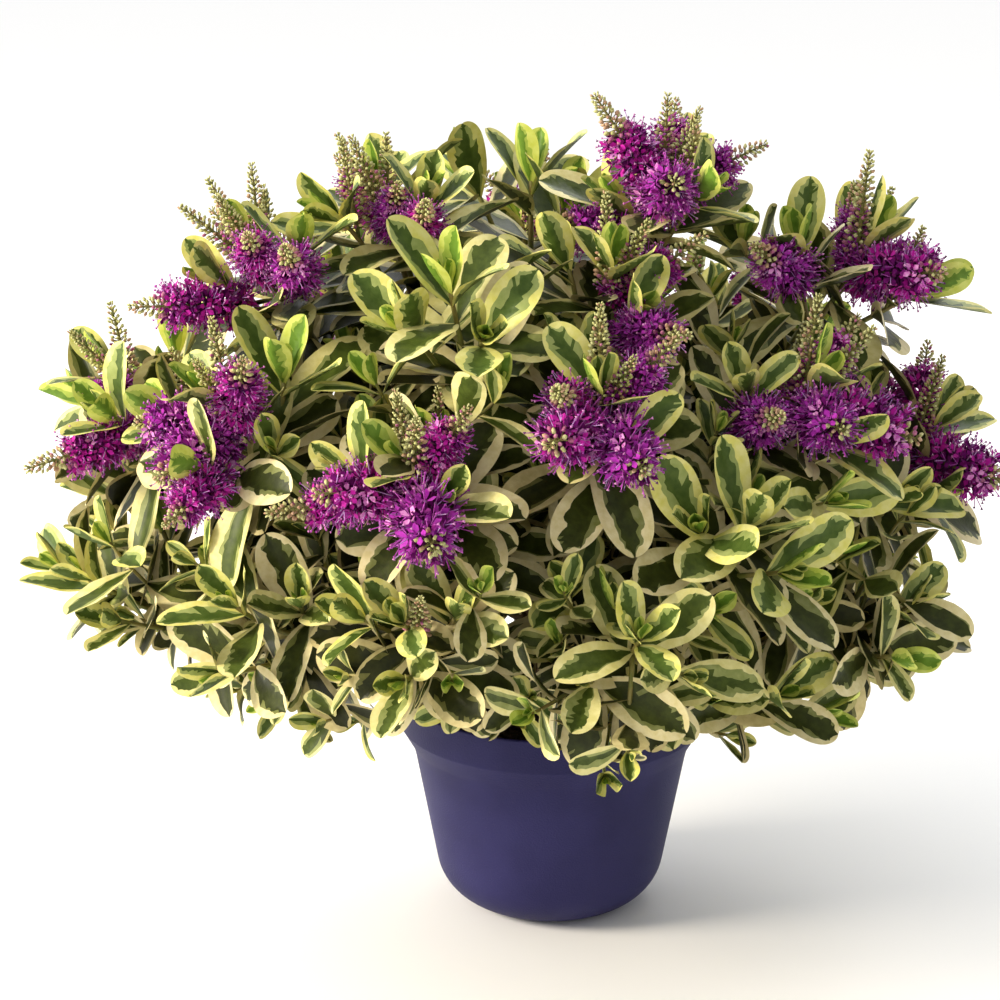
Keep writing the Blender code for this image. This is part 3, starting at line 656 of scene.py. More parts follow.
# flower spikes, each a stalk with open flowers below and buds above, along +Y
spikePlan = {
    "openLength": 0.056, "roundLength": 0.043, "budLength": 0.047, "length": (0.9, 1.1), "bare": 0.006,
    "openShare": {"open": 0.60, "round": 0.76, "bud": 0}, "openUneven": (0.85, 1.1),
    "stalk": ((0, 0.0011), (0.3, 0.0010), (0.6, 0.0008), (0.97, 0.0004)),  # share of the length, and radius
    "level": 0.0023, "budLevel": 1.05, "levelUneven": 0.0004, "rootRadius": 0.0006, "turn": 0.1,
    "ringTurn": 0.12, "flowersAround": 10, "budsAround": 6,
    "flowerClimb": (-24, 62, 1, 14), "budClimb": (16, 44, 2, 6),  # least, rise, its power and unevenness
    "flowerSize": (0.72, 0.34, 0.15, 0.75),
    "kinds": ("open", "open", "open", "round", "round", "round", "bud", "bud", "bud", "bud"), "firstSeed": 40,
}
flowerPlan = {
    "tube": (0.0040, 0.0096), "tubeRadii": (0.0005, 0.0011), "throat": 0.0008, "colours": (0.64, 0.26, 0.10),
    "lobes": 4, "lobeLength": 0.0034, "lobeUneven": (0.8, 1.15), "lobeWidth": 0.0023, "spread": (0.6, 1.2),
    "outline": ((0, -0.35), (0, 0.35), (0.6, 1), (1, 0), (0.6, -1)),  # a lobe's, along and aside
    "filament": (0.0040, 0.0072), "filamentRadii": (0.00021, 0.00021), "filamentColours": (0.7, 0.3),
    "filamentLean": 0.28, "filamentAside": 0.4, "filamentUneven": 0.15, "anther": 0.0009,
}
budPlan = {
    "lowest": 0.0034, "highest": 0.0013, "taper": 0.7, "radiusShare": 0.34, "rosyBelow": 0.18,
    "stalk": 0.0034, "highestStalk": 0.0004, "shorter": 0.8, "stalkRadii": (0.0003, 0.0003), "inBud": 0.2,
}
seedWaist = 0.22  # a bud's two rings, by their distance from its middle as a share of its length
seedTopShare = 0.85


def crossways(way):
    across, upward = sidesOf(Vector(way))
    return np.array(tuple(across)), np.array(tuple(upward))


def addSeed(heap, middle, way, length, radius, sides, slot):  # a small closed bud or crumb
    spoke = spokes(*crossways(way), sides)
    heap.add(np.concatenate([
        [middle - way * length / 2],
        middle - way * length * seedWaist + spoke * radius,
        middle + way * length * seedWaist + spoke * radius * seedTopShare,
        [middle + way * length / 2],
    ]), fan(0, 1, sides)[:, ::-1], slot)
    start = heap.count - 2 * sides - 2
    heap.addFaces(band(1, 1 + sides, sides), slot, start)
    heap.addFaces(fan(2 * sides + 1, 1 + sides, sides), slot, start)


def addFlower(heap, root, way, size, fresh, chance):
    kind, plan = blossomKinds.index, flowerPlan
    across, upward = crossways(way)
    mouth = root + way * size * chance.uniform(*plan["tube"])
    addTube(heap, [root, mouth], plan["tubeRadii"], 3, kind("deep_petal"), capped=False)
    first = chance.uniform(0, math.pi / 2)
    colour = chance.choices((fresh, "deep_petal", "pale_petal"), plan["colours"])[0]
    for lobe in range(plan["lobes"]):
        angle = first + lobe * 2 * math.pi / plan["lobes"]
        side = across * math.cos(angle) + upward * math.sin(angle)
        spread = chance.uniform(*plan["spread"])
        length = plan["lobeLength"] * chance.uniform(*plan["lobeUneven"])
        along = (side * math.sin(spread) + way * math.cos(spread)) * length
        edge = np.cross(way, side) * plan["lobeWidth"] / 2
        foot = mouth + side * plan["throat"]
        points = np.array([foot + along * out + edge * aside for out, aside in plan["outline"]])
        heap.add(points, np.arange(len(points))[None], kind(colour))
    for side in (-1, 1):
        aside = chance.uniform(-plan["filamentAside"], plan["filamentAside"])
        rise = plan["filamentLean"] * side + chance.uniform(-plan["filamentUneven"], plan["filamentUneven"])
        along = way + across * aside + upward * rise
        end = mouth + along / np.linalg.norm(along) * size * chance.uniform(*plan["filament"])
        colour = chance.choices(("filament", "pale_filament"), plan["filamentColours"])[0]
        addTube(heap, [mouth, end], plan["filamentRadii"], 3, kind(colour), capped=False)
        addGrain(heap, end, plan["anther"], kind(chance.choice(("anther", "filament", "pale_petal"))))


def addGrain(heap, middle, size, slot):  # an anther, as small as shows
    points = middle + size / 2 * np.array([[1, 1, 1], [1, -1, -1], [-1, 1, -1], [-1, -1, 1]])
    heap.add(points, np.array([[0, 1, 2], [0, 3, 1], [0, 2, 3], [1, 3, 2]]), slot)


def addBud(heap, root, way, share, opened, chance):
    kind, plan = blossomKinds.index, budPlan
    shrink = (1 - share) ** plan["taper"]
    size = plan["highest"] + (plan["lowest"] - plan["highest"]) * shrink
    if opened and share < plan["rosyBelow"]:
        colour = "rosy_bud"
    else:  # rosy low down, green near the top
        shares = (0.25 * (1 - share), 0.30, 0.3 + share)
        colour = chance.choices(("rosy_bud", "dusty_bud", "green_bud"), shares)[0]
    stalk = plan["stalk"] * shrink * (plan["shorter"] if opened else 1) + plan["highestStalk"]
    addSeed(heap, root + way * (stalk + size / 2), way, size, size * plan["radiusShare"], 4, kind(colour))
    stalkEnd = root + way * (stalk + size * plan["inBud"])
    addTube(heap, [root, stalkEnd], plan["stalkRadii"], 3, kind("stalk"), capped=False)


def spikeTemplate(kind, seed):  # rings of flowers below and rings of buds above, on a stalk along +Y
    chance = random.Random(seed)
    heap, plan = Heap(), spikePlan
    length = plan[f"{kind}Length"] * chance.uniform(*plan["length"])
    start = plan["bare"]
    opened = start + (length - start) * plan["openShare"][kind] * chance.uniform(*plan["openUneven"])
    path = [(0, share * length, 0) for share, _ in plan["stalk"]]
    addTube(heap, path, [radius for _, radius in plan["stalk"]], 5, blossomKinds.index("stalk"))
    fresh = "violet_petal" if seed % 2 else "petal"
    y, turn = start, 0
    while y < length:
        flowering = y < opened
        count = plan["flowersAround" if flowering else "budsAround"]
        least, rise, power, uneven = plan["flowerClimb" if flowering else "budClimb"]
        share = (y - start) / (opened - start) if flowering else (y - opened) / (length - opened)
        turn += math.pi / count + chance.uniform(-plan["turn"], plan["turn"])
        for index in range(count):
            angle = turn + 2 * math.pi * index / count + chance.uniform(-plan["ringTurn"], plan["ringTurn"])
            out = np.array([math.cos(angle), 0, math.sin(angle)])
            level = y + chance.uniform(-plan["levelUneven"], plan["levelUneven"])
            root = np.array([0, level, 0]) + out * plan["rootRadius"]
            climb = math.radians(least + rise * share**power + chance.uniform(-uneven, uneven))
            way = out * math.cos(climb) + np.array([0, math.sin(climb), 0])
            if flowering:
                small, more, first, run = plan["flowerSize"]
                size = small + more * math.sin(math.pi * (first + run * share))
                addFlower(heap, root, way, size, fresh, chance)
            else:
                addBud(heap, root, way, share, kind != "bud", chance)
        y += plan["level"] * (1 if flowering else plan["budLevel"])
    return heap.packed()


# half widths along a spike, which keep leaves and other spikes out of its middle
spikeProxyRows = {
    "open": ((0.08, 0.0005), (0.20, 0.0035), (0.36, 0.0085), (0.55, 0.0085), (0.68, 0.003), (1.0, 0.0005)),
    "round": ((0.10, 0.0005), (0.26, 0.0035), (0.45, 0.0085), (0.75, 0.0085), (0.90, 0.003), (1.0, 0.0005)),
    "bud": ((0.12, 0.0005), (0.30, 0.0035), (0.55, 0.0040), (0.80, 0.0025), (1.0, 0.0005)),
}


def spikeProxy(kind):
    rows, length = spikeProxyRows[kind], spikePlan[f"{kind}Length"]
    path = [Vector((0, share * length, 0)) for share, _ in rows]
    points, quads, _ = tube(path, [radius for _, radius in rows], 5)
    return points, quads


# where a shoot's spikes stand, in the order that they are dealt: turn about it and lean from it in degrees,
# size, and depth of the foot below its tip
spikePlaces = {
    "middle": (("round", 246, 72, 1.2, 0.015), ("bud", 75, 20, 1, 0.013), ("round", 308, 62, 1.15, 0.015),
               ("open", 172, 54, 0.95, 0.015), ("bud", 125, 26, 1, 0.013), ("bud", 205, 34, 1, 0.013),
               ("bud", 350, 34, 1, 0.013)),
    "leafy": (("bud", 75, 20, 1, 0.013), ("open", 200, 62, 0.9, 0.018), ("bud", 125, 28, 1, 0.013),
              ("bud", 222, 36, 1, 0.013), ("bud", 318, 36, 1, 0.013), ("open", 345, 62, 0.85, 0.018),
              ("bud", 268, 40, 1, 0.015)),
    "crowned": (("round", 326, 66, 1.2, 0.015), ("open", 50, 64, 1, 0.013), ("open", 240, 62, 1, 0.012),
                ("bud", 100, 20, 1, 0.010), ("bud", 10, 24, 1, 0.010), ("open", 150, 50, 0.95, 0.012),
                ("bud", 280, 30, 1, 0.010)),
    "ring": (("open", 270, 45, 0.95, 0.015), ("bud", 90, 20, 1, 0.013), ("open", 150, 40, 0.9, 0.015)),
}
loneSpike = spikePlaces["middle"][5:6]  # where a mass has only one
# how strongly a spike turns up to the sky, and how much more on the side that its turn puts uppermost
spikeRise = {"open": (0.38, 0.30), "round": (0.30, 0.30), "bud": (0.75, 0.10)}
# the extra turn and lean in degrees and the share of its size that a spike is tried at until it has room
spikeTries = ((0, 0, 1), (14, 0, 1), (-14, 0, 1), (0, -12, 1), (28, -6, 0.95), (-28, -6, 0.95), (0, 12, 0.95),
              (45, -10, 0.85), (-45, -10, 0.85), (0, -26, 0.85))
spikeUneven = {"depth": (0, 0.004), "turn": (-12, 12), "size": (0.9, 1.1)}
spikeHabit = {
    "top_left": "leafy", "centre_upper": "leafy", "upper_left": "leafy", "far_left": "leafy",
    "top_right": "crowned",
}


# pairs of leaves below a shoot's tip: depth, length and angle to the shoot
leafPairs = {
    "plain": (
        (0.000, 0.016, 9), (0.003, 0.031, 24), (0.009, 0.045, 44), (0.018, 0.052, 62), (0.030, 0.053, 76),
        (0.044, 0.050, 88), (0.059, 0.046, 97), (0.075, 0.042, 103), (0.092, 0.038, 108), (0.110, 0.035, 110),
    ),
    "flowering": (
        (0.000, 0.022, 13), (0.002, 0.031, 26), (0.007, 0.039, 43), (0.024, 0.050, 70), (0.034, 0.054, 82),
        (0.047, 0.050, 92), (0.062, 0.046, 98), (0.078, 0.042, 104), (0.095, 0.038, 108), (0.112, 0.035, 110),
    ),
    "side": (
        (0.000, 0.011, 9), (0.003, 0.022, 30), (0.009, 0.033, 52), (0.018, 0.038, 72), (0.029, 0.040, 86),
        (0.042, 0.038, 96), (0.056, 0.036, 104),
    ),
}
# the turns about the shoot, extra angles and sizes that a leaf is tried at until it has room
leafTries = ((0, 0, 1), (0.25, 6, 1), (-0.25, -6, 1), (0, 14, 0.9), (0, -14, 0.9), (0.5, 4, 0.85),
             (-0.5, 4, 0.85), (0, 4, 0.7))
# chances, and heights as shares of the crown's, from which a leaf takes a lighter spray's colours, painted
# light; a first shoot's rosette counts as higher
sprayPlan = {
    "lime": 0.85, "limeDrop": 0.4, "painted_sunlit": 0.35, "yellow": 0.62, "cream": 0.25, "uneven": 0.2,
    "rosette": 0.4,
}


def sprayOf(pair, height, chance):  # colours by the leaf's age and by painted light, lighter the higher the leaf stands
    # painted light: the leaf's height in the crown, a little uneven, picks lighter sprays higher up
    paintedSun = height + chance.uniform(-sprayPlan["uneven"], sprayPlan["uneven"])
    if pair <= 1:
        return "lime" if chance.random() < sprayPlan["lime"] - sprayPlan["limeDrop"] * pair else "painted_sunlit"
    if pair == 2:
        return "painted_sunlit" if paintedSun > sprayPlan["painted_sunlit"] else "yellow"
    if pair <= 4 and paintedSun > sprayPlan["cream"]:
        return "yellow" if paintedSun > sprayPlan["yellow"] else "cream"
    # old leaves: darker sprays, partly their age and partly painted shading
    return chance.choice(("cream", "olive") if pair <= 6 else ("olive", "painted_shade"))


class Shoot:  # a first one has its tip's leaves placed before all others, and given lighter sprays, painted light
    def __init__(self, mass, path, twig, series, radii, scale, spikes, first):
        self.mass, self.path, self.twig, self.series = mass, path, twig, series
        self.radii, self.scale, self.spikes, self.first = radii, scale, spikes, first
        self.length = sum((b - a).length for a, b in zip(path, path[1:]))
        self.chance = random.Random(mass.seed * 100 + int(path[-1].x * 90001) % 97)
        self.phase = self.chance.uniform(0, math.pi)


def growShoots(planned):
    shoots, tips, plan = [], [], shootPlan
    for mass in planned:
        paths = mainShoots(mass)
        habit = spikeHabit.get(mass.name, "middle")
        middle = spikePlaces[habit][:math.ceil(mass.spikes * plan["middleSpikes"])]
        if mass.spikes == 1:
            middle = loneSpike
        left, around = mass.spikes - len(middle), len(paths) - 1
        cuts = plan["cutSteps"].get(mass.name, ())
        scale = plan["lowScale"] if mass.climb < sidePlan["lowClimb"] else 1
        for index, path in enumerate(paths):
            path = trimmed(path[:len(path) - (cuts[index] if index < len(cuts) else 0)])
            if not path:
                continue
            if index == 0:
                full = mass.line[plan["firstLeafStep"]:mass.entry + len(path)]
                spikes, radius = middle, plan["radius"]
            else:
                first = (index - 1) % 2
                spikes = spikePlaces["ring"][first:first + (left + around - index) // around]
                full, radius = path, plan["radius"] * plan["sideShare"]
            series = "flowering" if spikes else "plain"
            radii = radius, plan["tipRadius"]
            shoots.append(Shoot(mass, full, path, series, radii, scale, spikes, index == 0 and not spikes))
            tips.append(path[-1])
    for mass in planned:
        radii = sidePlan["radius"], sidePlan["tipRadius"]
        shoots += [Shoot(mass, path, path, "side", radii, scale, (), first)
                   for path, scale, first in sideShoots(mass, tips)]
    return shoots


growthRoom = {"proud": 0.004, "lowest": 0.075}


def insideBox(points):  # a little proud of the solids' own box at most
    low, high = np.array(cadBox[0]) - growthRoom["proud"], np.array(cadBox[1]) + growthRoom["proud"]
    return bool((points.min(0) > low).all() and (points.max(0) < high).all()
                and points[:, 2].min() > growthRoom["lowest"])


# the skirt's lower edge: its height against the distance from the pot's axis, and a dip where a twig hangs
skirtPlan = {
    "front": (0.108, 0.33), "frontFrom": 0.5, "frontRun": 0.3, "fullFront": 0.99,
    "out": (0.083, 0.10, 0.15, 0.17, 0.20, 0.26), "side": (0.112, 0.100, 0.106, 0.120, 0.148, 0.172),
    "dip": 0.025, "dipAt": 0.022, "dipWidth": 0.016, "dipOut": 0.004, "tipRoom": 0.012,
}


def clearOfPot(points):  # leaves rise away from the rim in front, as it shows, and hang a little beside it
    plan = skirtPlan
    flat = np.hypot(points[:, 0], points[:, 1])
    beyond = (flat - potPlan["rim"]).clip(0)
    front = ((np.abs(points[:, 1]) / flat - plan["frontFrom"]) / plan["frontRun"]).clip(0, 1)
    dip = plan["dip"] * np.exp(-((points[:, 0] - plan["dipAt"]) / plan["dipWidth"]) ** 2)
    dip = dip * (points[:, 1] < -potPlan["rim"] - plan["dipOut"])
    atFront = plan["front"][0] + plan["front"][1] * beyond - dip
    atSide = np.interp(flat, plan["out"], plan["side"])
    least = np.where(front > plan["fullFront"], atFront, np.maximum(atSide, atFront * front))
    return not (points[:, 2] < least).any()


def tipIsClear(tip):  # with room for the tip's own leaves below it
    return clearOfPot(asArray([tip - up * skirtPlan["tipRoom"]]))


def trimmed(path):  # a shoot cut back to where its tip is clear of the skirt's edge
    while len(path) > shootPlan["fewestSteps"]:
        if tipIsClear(path[-1]):
            return path
        path = path[:-1]
    return None


def growBlossom(shoots, crowd):
    kinds = spikePlan["kinds"]
    templates = [spikeTemplate(kind, seed) for seed, kind in enumerate(kinds, spikePlan["firstSeed"])]
    proxies = {kind: spikeProxy(kind) for kind in spikeProxyRows}
    placed = []
    for shoot in shoots:
        for kind, turn, lean, size, depth in shoot.spikes:
            base, way = pointBelowTip(shoot.path, depth + shoot.chance.uniform(*spikeUneven["depth"]))
            turn += shoot.chance.uniform(*spikeUneven["turn"])
            size *= shoot.chance.uniform(*spikeUneven["size"])
            which = shoot.chance.choice([index for index, made in enumerate(kinds) if made == kind])
            proxyPoints, proxyFaces = proxies[kind]
            level, rise = spikeRise[kind]
            skyward = up * (level + rise * math.sin(math.radians(turn)))
            for nudge, more, share in spikeTries:
                along = turned(way, math.radians(turn + nudge), math.radians(lean + more))
                matrix = (along + skyward).normalized().to_track_quat("Y", "Z").to_matrix().to_4x4()
                matrix.translation = base
                points = moved(proxyPoints * size * share, matrix)
                found = crowd.free(points, proxyFaces)
                if found and insideBox(points):
                    crowd.keep(found)
                    placed.append((matrix, size * share, which))
                    break
    return templates, placed


def leafLook(pair, chance):  # a blade's fold, curl and twist, and the width of its heart, by the leaf's age
    young = pair <= leafPlan["lastYoung"]
    fold = leafPlan["youngFold"] if young else chance.uniform(*leafPlan["folds"])
    curl = chance.uniform(*leafPlan["youngCurls" if young else "curls"])
    heart = 0 if pair <= leafPlan["lastBright"] else 1 if pair <= leafPlan["lastFine"] else 2
    return fold, curl, chance.uniform(*leafPlan["twists"]), heart


def leafOrder(shoots):  # pair by pair from the tips, and the bare tips' whorls before all others
    longest = max(len(pairs) for pairs in leafPairs.values())
    whorl = leafPlan["lastFine"]
    whorls = [(pair, shoot) for pair in range(whorl + 1) for shoot in shoots if shoot.first]
    others = [(pair, shoot) for pair in range(longest) for shoot in shoots if pair > whorl or not shoot.first]
    return [(pair, shoot) for pair, shoot in whorls + others if pair < len(leafPairs[shoot.series])]


def growLeaves(shoots, crowd):
    leaves, plan = [], leafPlan
    lowest, highest = plan["firstHeight"], cadBox[1][2]
    wide = plan["columns"]
    proxyFaces = np.array([[start, start + 1, start + 4, start + 3] for start in (0, 1, 3, 4, 6, 7)])
    for pair, shoot in leafOrder(shoots):
        depth, length, angle = leafPairs[shoot.series][pair]
        if depth > plan["lowestDepth"] and shoot.mass.climb < sidePlan["lowClimb"]:
            continue
        depth *= 1 - plan["scaledDepth"] + plan["scaledDepth"] * shoot.scale
        base, way = pointBelowTip(shoot.path, depth)
        if base is None:
            continue
        chance = shoot.chance
        # painted light: a leaf's height, raised for a first shoot's rosette, sets how light its spray is
        height = (base.z - lowest) / (highest - lowest) + sprayPlan["rosette"] * shoot.first
        spray = sprayOf(pair, height, chance)
        fine = plan["lastYoung"] <= pair <= plan["lastFine"] and shoot.series != "side"
        rows = plan["fineRows" if fine else "plainRows"]
        picked = np.array([round(rows * share) for share in plan["proxyRows"]])
        corners = (picked[:, None] * wide + np.array([0, wide // 2, wide - 1])).ravel()
        for side in (0, 1):
            turn = shoot.phase + math.pi * (pair / 2 + side) + chance.uniform(-plan["turn"], plan["turn"])
            size = length * shoot.scale * chance.uniform(*plan["length"])
            lean = angle + chance.uniform(-plan["lean"], plan["lean"])
            bladeChance = np.random.default_rng(chance.randrange(10**6))
            blade, zones = leafSurface(rows, size, *leafLook(pair, bladeChance), bladeChance)
            lift = 0 if pair <= plan["lastYoung"] else plan["lift"]
            for nudge, more, share in leafTries:
                matrix = bladeMatrix(base, way, turn + nudge, math.radians(lean + more), lift)
                points = moved(blade * share, matrix)
                if not insideBox(points) or not clearOfPot(points):
                    continue
                found = crowd.free(points[corners], proxyFaces)
                if found:
                    crowd.keep(found)
                    leaves.append((shoot.mass, points, zones, spray, rows))
                    break
    print(f"{len(leaves)} leaves on {len(shoots)} shoots")
    return leaves


pieceLimit = {"spikes": 185000, "leaves": 148000}  # triangles at which the next piece begins


def makeLeaves(planned, leaves):
    materials, sprays = leafMaterials(), list(leafSprays)
    faces = {rows: leafFaces(rows) for rows in (leafPlan["fineRows"], leafPlan["plainRows"])}
    heap, names, number = Heap(), [], 1
    for mass in planned:
        for owner, points, zones, spray, rows in leaves:
            if owner is mass:
                heap.add(points, faces[rows], zones + len(leafZones) * sprays.index(spray))
        names.append(f"mass_{mass.name}")
        if heap.triangles > pieceLimit["leaves"] or mass is planned[-1]:
            makePiece(f"variegated_leaves_{number}", heap, materials, names)
            heap, names, number = Heap(), [], number + 1


def makeBlossom(templates, placed):
    materials = [finished(f"fresh_{name}", "blossom", colours, **{"Sheen Weight": sheen})
                 for name, (*colours, sheen) in blossomColours.items()]
    heap, number = Heap(), 1
    for index, (matrix, size, which) in enumerate(placed):
        points, faces = templates[which]
        heap.addHeap(moved(points * size, matrix), faces)
        if heap.triangles > pieceLimit["spikes"] or index == len(placed) - 1:
            makePiece(f"purple_flower_spikes_{number}", heap, materials)
            heap, number = Heap(), number + 1
    print(f"{len(placed)} spikes")


twigPlan = {"step": 0.007, "fewest": 4, "most": 16, "sides": 6, "colours": ("#6f7434", "#8b7b45")}


def tapered(first, last, count):
    return [first + (last - first) * index / count for index in range(count + 1)]


def makeTwigs(shoots):
    heap = Heap()
    for shoot in shoots:
        steps = max(twigPlan["fewest"], int(shoot.length / twigPlan["step"]))
        path = resampled(shoot.twig, min(steps, twigPlan["most"]))
        addTube(heap, path, tapered(*shoot.radii, len(path) - 1), twigPlan["sides"], 0)
    twigSkin = finished("smooth_green_twig", "twig", twigPlan["colours"])
    makePiece("green_twigs", heap, [twigSkin])


barkPlan = {
    "fissures": (600, 600, 140), "fissureDepth": 0.10, "roughness": 1500, "roughDepth": 0.05,
    "scarEvery": 9, "scarRow": 4, "scarHeight": 0.07, "colours": ("#54412c", "#87704f"),
    "trunkRows": 56, "trunkSides": 24, "trunkTip": 0.6,
    "boughRows": 34, "boughSides": 10, "collarRows": 4, "collar": 0.0010,
}


def barkRelief(index, place):  # long fissures and old leaf scars
    plan = barkPlan
    ridge = noise.noise(Vector([a * b for a, b in zip(place, plan["fissures"])]))
    scar = plan["scarHeight"] if index % plan["scarEvery"] == plan["scarRow"] else 0
    rough = noise.noise(place * plan["roughness"])
    return 1 + plan["fissureDepth"] * ridge + plan["roughDepth"] * rough + scar


def makeLimbs(planned):
    heap, plan, rows = Heap(), barkPlan, barkPlan["trunkRows"]
    shares = [index / rows for index in range(rows + 1)]
    radii = [trunkRadius(share) for share in shares]
    radii[-1] *= plan["trunkTip"]
    addTube(heap, [trunkPoint(share) for share in shares], radii, plan["trunkSides"], 0, barkRelief)
    rows, collarRows = plan["boughRows"], plan["collarRows"]
    radii = tapered(limbPlan["boughRootRadius"], limbPlan["boughTipRadius"], rows)
    for index in range(collarRows):
        radii[index] += plan["collar"] * (1 - index / collarRows)
    for mass in planned:
        path = resampled([mass.fork, *mass.line[:mass.entry + 2]], rows)
        addTube(heap, path, radii, plan["boughSides"], 0, barkRelief)
    bark = finished("fissured_brown_bark", "bark", plan["colours"])
    makePiece("fissured_trunk_and_boughs", heap, [bark],
              ["trunk", *(f"bough_{mass.name}" for mass in planned)])


def arc(middle, radius, first, last, count):
    return [(middle[0] + radius * math.cos(a), middle[1] + radius * math.sin(a))
            for a in (math.radians(first + (last - first) * index / count) for index in range(count + 1))]


def potRows():  # each ring's radius and height, down the outside, under the foot and up the inside
    p = potPlan
    lean = math.atan2(p["wallTop"] - p["wallFoot"], p["wallTopZ"])
    middle = p["wallFoot"] - p["corner"] * math.tan((math.pi / 2 - lean) / 2)
    footRadius, footZ = middle + p["corner"] * math.cos(lean), p["corner"] * (1 - math.sin(lean))
    rows = arc((p["rim"] - p["lip"], p["height"] - p["lip"]), p["lip"], 90, 0, 6)
    rows += [(p["rim"] + out, p["collarFoot"] + rise) for out, rise in p["rimFace"]]
    edge = p["collarEdge"]
    rows += arc((p["rim"] - edge, p["collarFoot"] + edge / 2), edge, 0, -40, 4)
    rows += [(p["wallTop"] + out, p["wallTopZ"] + rise) for out, rise in p["shoulder"]]
    for index in range(1, p["wallRows"]):
        share = index / p["wallRows"]
        z = p["wallTopZ"] + (footZ - p["wallTopZ"]) * share
        rows.append((p["wallTop"] + (footRadius - p["wallTop"]) * share, z))
    rows += arc((middle, p["corner"]), p["corner"], -math.degrees(lean), -90, 18)
    rows += [(middle * 0.97, 0.0), *p["recess"]]
    rows += [(p["recess"][-1][0], p["wall"]), (middle, p["wall"]), (p["wallTop"] - p["wall"], p["wallTopZ"])]
    rows += [(p["rim"] - p["wall"], p["collarFoot"]), (p["rim"] - p["wall"], p["height"] - 0.001)]
    return rows


def makePot():
    plan = potPlan
    rows, sides, notches = potRows(), plan["sides"], plan["notches"]
    angles = np.arange(sides) * 2 * np.pi / sides
    points = []
    for radius, z in rows:
        height = np.full(sides, z)
        if z < plan["notchHeight"] and plan["notchFrom"] < radius < plan["notchTo"]:
            for notch in range(notches):
                centre = 2 * np.pi * notch / notches - np.pi / 2
                off = np.abs((angles - centre + np.pi) % (2 * np.pi) - np.pi) * radius
                height = np.where(off < plan["notchWidth"] / 2, plan["notchHeight"], height)
        points.append(np.stack([radius * np.cos(angles), radius * np.sin(angles), height], 1))
    count = len(rows)
    quads = [band((row + 1) % count * sides, row * sides, sides) for row in range(count)]
    heap = Heap()
    heap.add(np.concatenate(points), np.roll(np.concatenate(quads), 1, axis=1), 0)
    pot = makePiece("moulded_pot", heap, [potMaterial()], ["pot"])
    pot.data.set_sharp_from_angle(angle=math.radians(plan["sharpDegrees"]))


compostPlan = {
    "colours": ("#1d150f", "#46352a"), "seed": 77, "crumbs": 700, "reach": 0.0715, "stemRoom": 0.014,
    "top": 0.100, "fall": 0.002, "fallFrom": 0.021, "fallRun": 0.0525,
    "size": (0.0008, 0.0026), "stretch": (1.2, 3), "radiusShare": 0.6, "raised": 0.2, "flatness": 0.4,
    "sides": 5,
}


def makeCompost():  # the solid keeps its shape under a loose layer of crumbs
    plan = compostPlan
    material = finished("damp_peat_compost", "compost", plan["colours"])
    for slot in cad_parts["compost"].material_slots:
        slot.material = material
    chance = random.Random(plan["seed"])
    heap = Heap()
    for _ in range(plan["crumbs"]):
        radius, angle = plan["reach"] * math.sqrt(chance.random()), chance.uniform(0, 2 * math.pi)
        if radius < plan["stemRoom"]:
            continue
        z = plan["top"] - plan["fall"] * max(0, (radius - plan["fallFrom"]) / plan["fallRun"])
        size = chance.uniform(*plan["size"])
        way = np.array([chance.gauss(0, 1), chance.gauss(0, 1), chance.gauss(0, plan["flatness"])])
        way /= np.linalg.norm(way)
        place = np.array([radius * math.cos(angle), radius * math.sin(angle), z + size * plan["raised"]])
        length = size * chance.uniform(*plan["stretch"])
        addSeed(heap, place, way, length, size * plan["radiusShare"], plan["sides"], 0)
    makePiece("compost_crumbs", heap, [material])


# each light's place, target, size in metres, watts and colour
lightPlan = {
    "key_light": ((-2.2, -0.65, 1.15), (0, 0, 0.18), 0.9, 84, "#fff3de"),
    "rim_light": ((0.6, 1.6, 1.7), (0, 0, 0.25), 1.0, 12, "#ffffff"),
}
worldPlan = {"brightWay": (-0.75, 0.66, 0), "levels": (0.25, 1.72)}  # brighter behind and at the left
floorPlan = {"reach": 30, "shader": {"Base Color": hexColour("#fafafa"), "Roughness": 0.9}}


def addArea(name, place, target, size, power, tint):
    light = bpy.data.lights.new(name, "AREA")
    light.shape, light.size, light.energy, light.color = "DISK", size, power, hexColour(tint)[:3]
    lamp = bpy.data.objects.new(name, light)
    lamp.location = place
    lamp.rotation_euler = (Vector(target) - Vector(place)).to_track_quat("-Z", "Y").to_euler()
    bpy.context.scene.collection.objects.link(lamp)


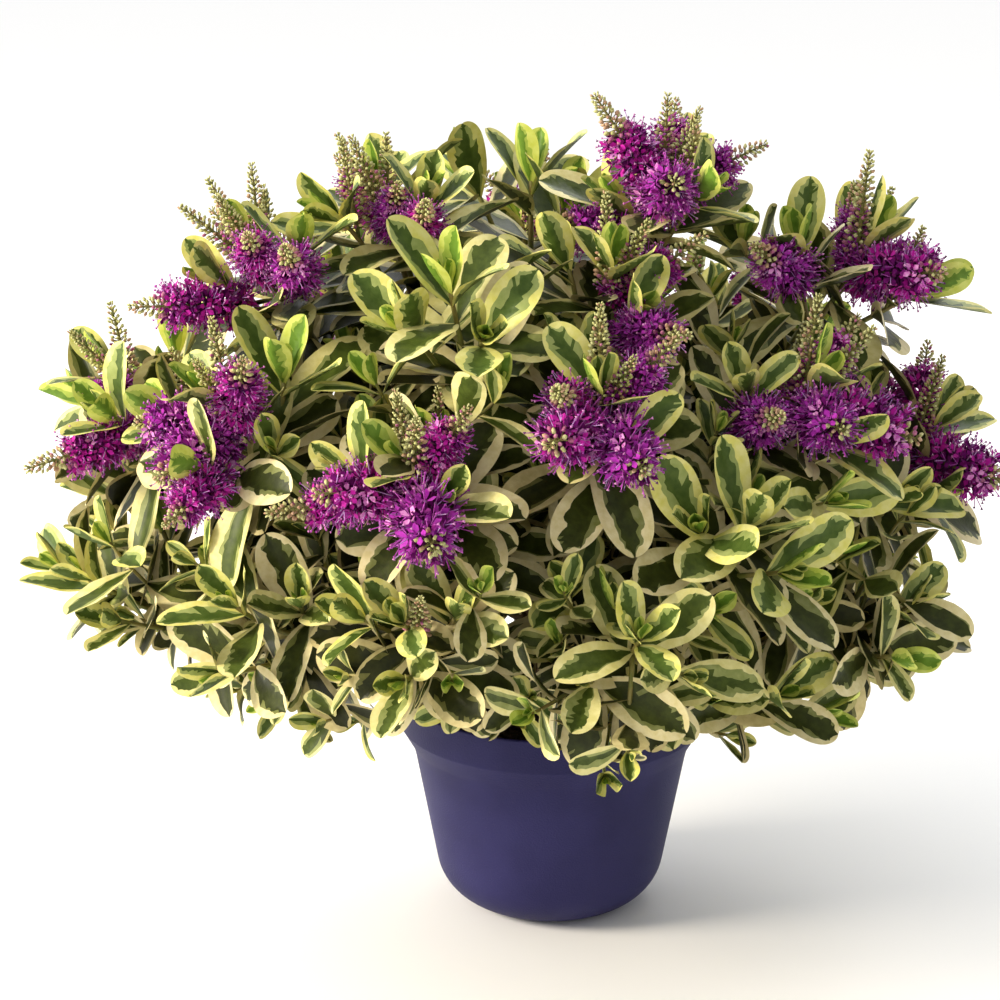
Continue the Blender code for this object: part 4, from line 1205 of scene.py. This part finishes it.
def makeStage():
    mesh, reach = bpy.data.meshes.new("pale_floor"), floorPlan["reach"]
    corners = [(-reach, -reach, 0), (reach, -reach, 0), (reach, reach, 0), (-reach, reach, 0)]
    mesh.from_pydata(corners, [], [(0, 1, 2, 3)])
    floor = bpy.data.objects.new("pale_floor", mesh)
    bpy.context.scene.collection.objects.link(floor)
    mesh.materials.append(newMaterial("matt_white_floor", floorPlan["shader"])[0])
    for name, settings in lightPlan.items():
        addArea(name, *settings)
    world = bpy.data.worlds.new("white_studio")
    world.use_nodes = True
    tree = world.node_tree
    way = addNode(tree, "ShaderNodeTexCoord").outputs["Generated"]
    share = addNode(tree, "ShaderNodeVectorMath", {"operation": "DOT_PRODUCT"},
                    {0: way, 1: worldPlan["brightWay"]})
    least, most = worldPlan["levels"]
    level = addNode(tree, "ShaderNodeMapRange", inputs={
        "Value": share.outputs["Value"], "From Min": -1, "From Max": 1, "To Min": least, "To Max": most})
    background = tree.nodes["Background"]
    background.inputs["Color"].default_value = (1, 1, 1, 1)
    tree.links.new(level.outputs["Result"], background.inputs["Strength"])
    bpy.context.scene.world = world
    bpy.context.scene.view_settings.view_transform = "Standard"
    print(f"floor, {len(lightPlan)} lights and white surroundings")


# the camera, in metres, degrees and millimetres
cameraPlan = {
    "target": Vector((0, 0, 0.055)), "distance": 1.3, "above": 22.72, "yaw": -1.204, "pitch": 16.32,
    "lens": 92.64, "sensor": 36, "nearest": 0.05,
}


def makeCamera():
    plan = cameraPlan
    above, yaw, pitch = (math.radians(plan[name]) for name in ("above", "yaw", "pitch"))
    camera = bpy.data.cameras.new("camera")
    camera.lens, camera.sensor_width = plan["lens"], plan["sensor"]
    camera.clip_start = plan["nearest"]
    made = bpy.data.objects.new("camera", camera)
    back = Vector((0, -math.cos(above), math.sin(above)))
    made.location = plan["target"] + plan["distance"] * back
    ahead = Vector((math.sin(yaw) * math.cos(pitch), math.cos(yaw) * math.cos(pitch), -math.sin(pitch)))
    made.rotation_euler = ahead.to_track_quat("-Z", "Y").to_euler()
    bpy.context.scene.collection.objects.link(made)
    bpy.context.scene.camera = made
    print("camera at the photo's angle")


makeCamera()
makeStage()
makePot()
makeCompost()
planned = planMasses()
makeLimbs(planned)
shoots = growShoots(planned)
makeTwigs(shoots)
crowd = Crowd()
templates, placed = growBlossom(shoots, crowd)
makeBlossom(templates, placed)
makeLeaves(planned, growLeaves(shoots, crowd))
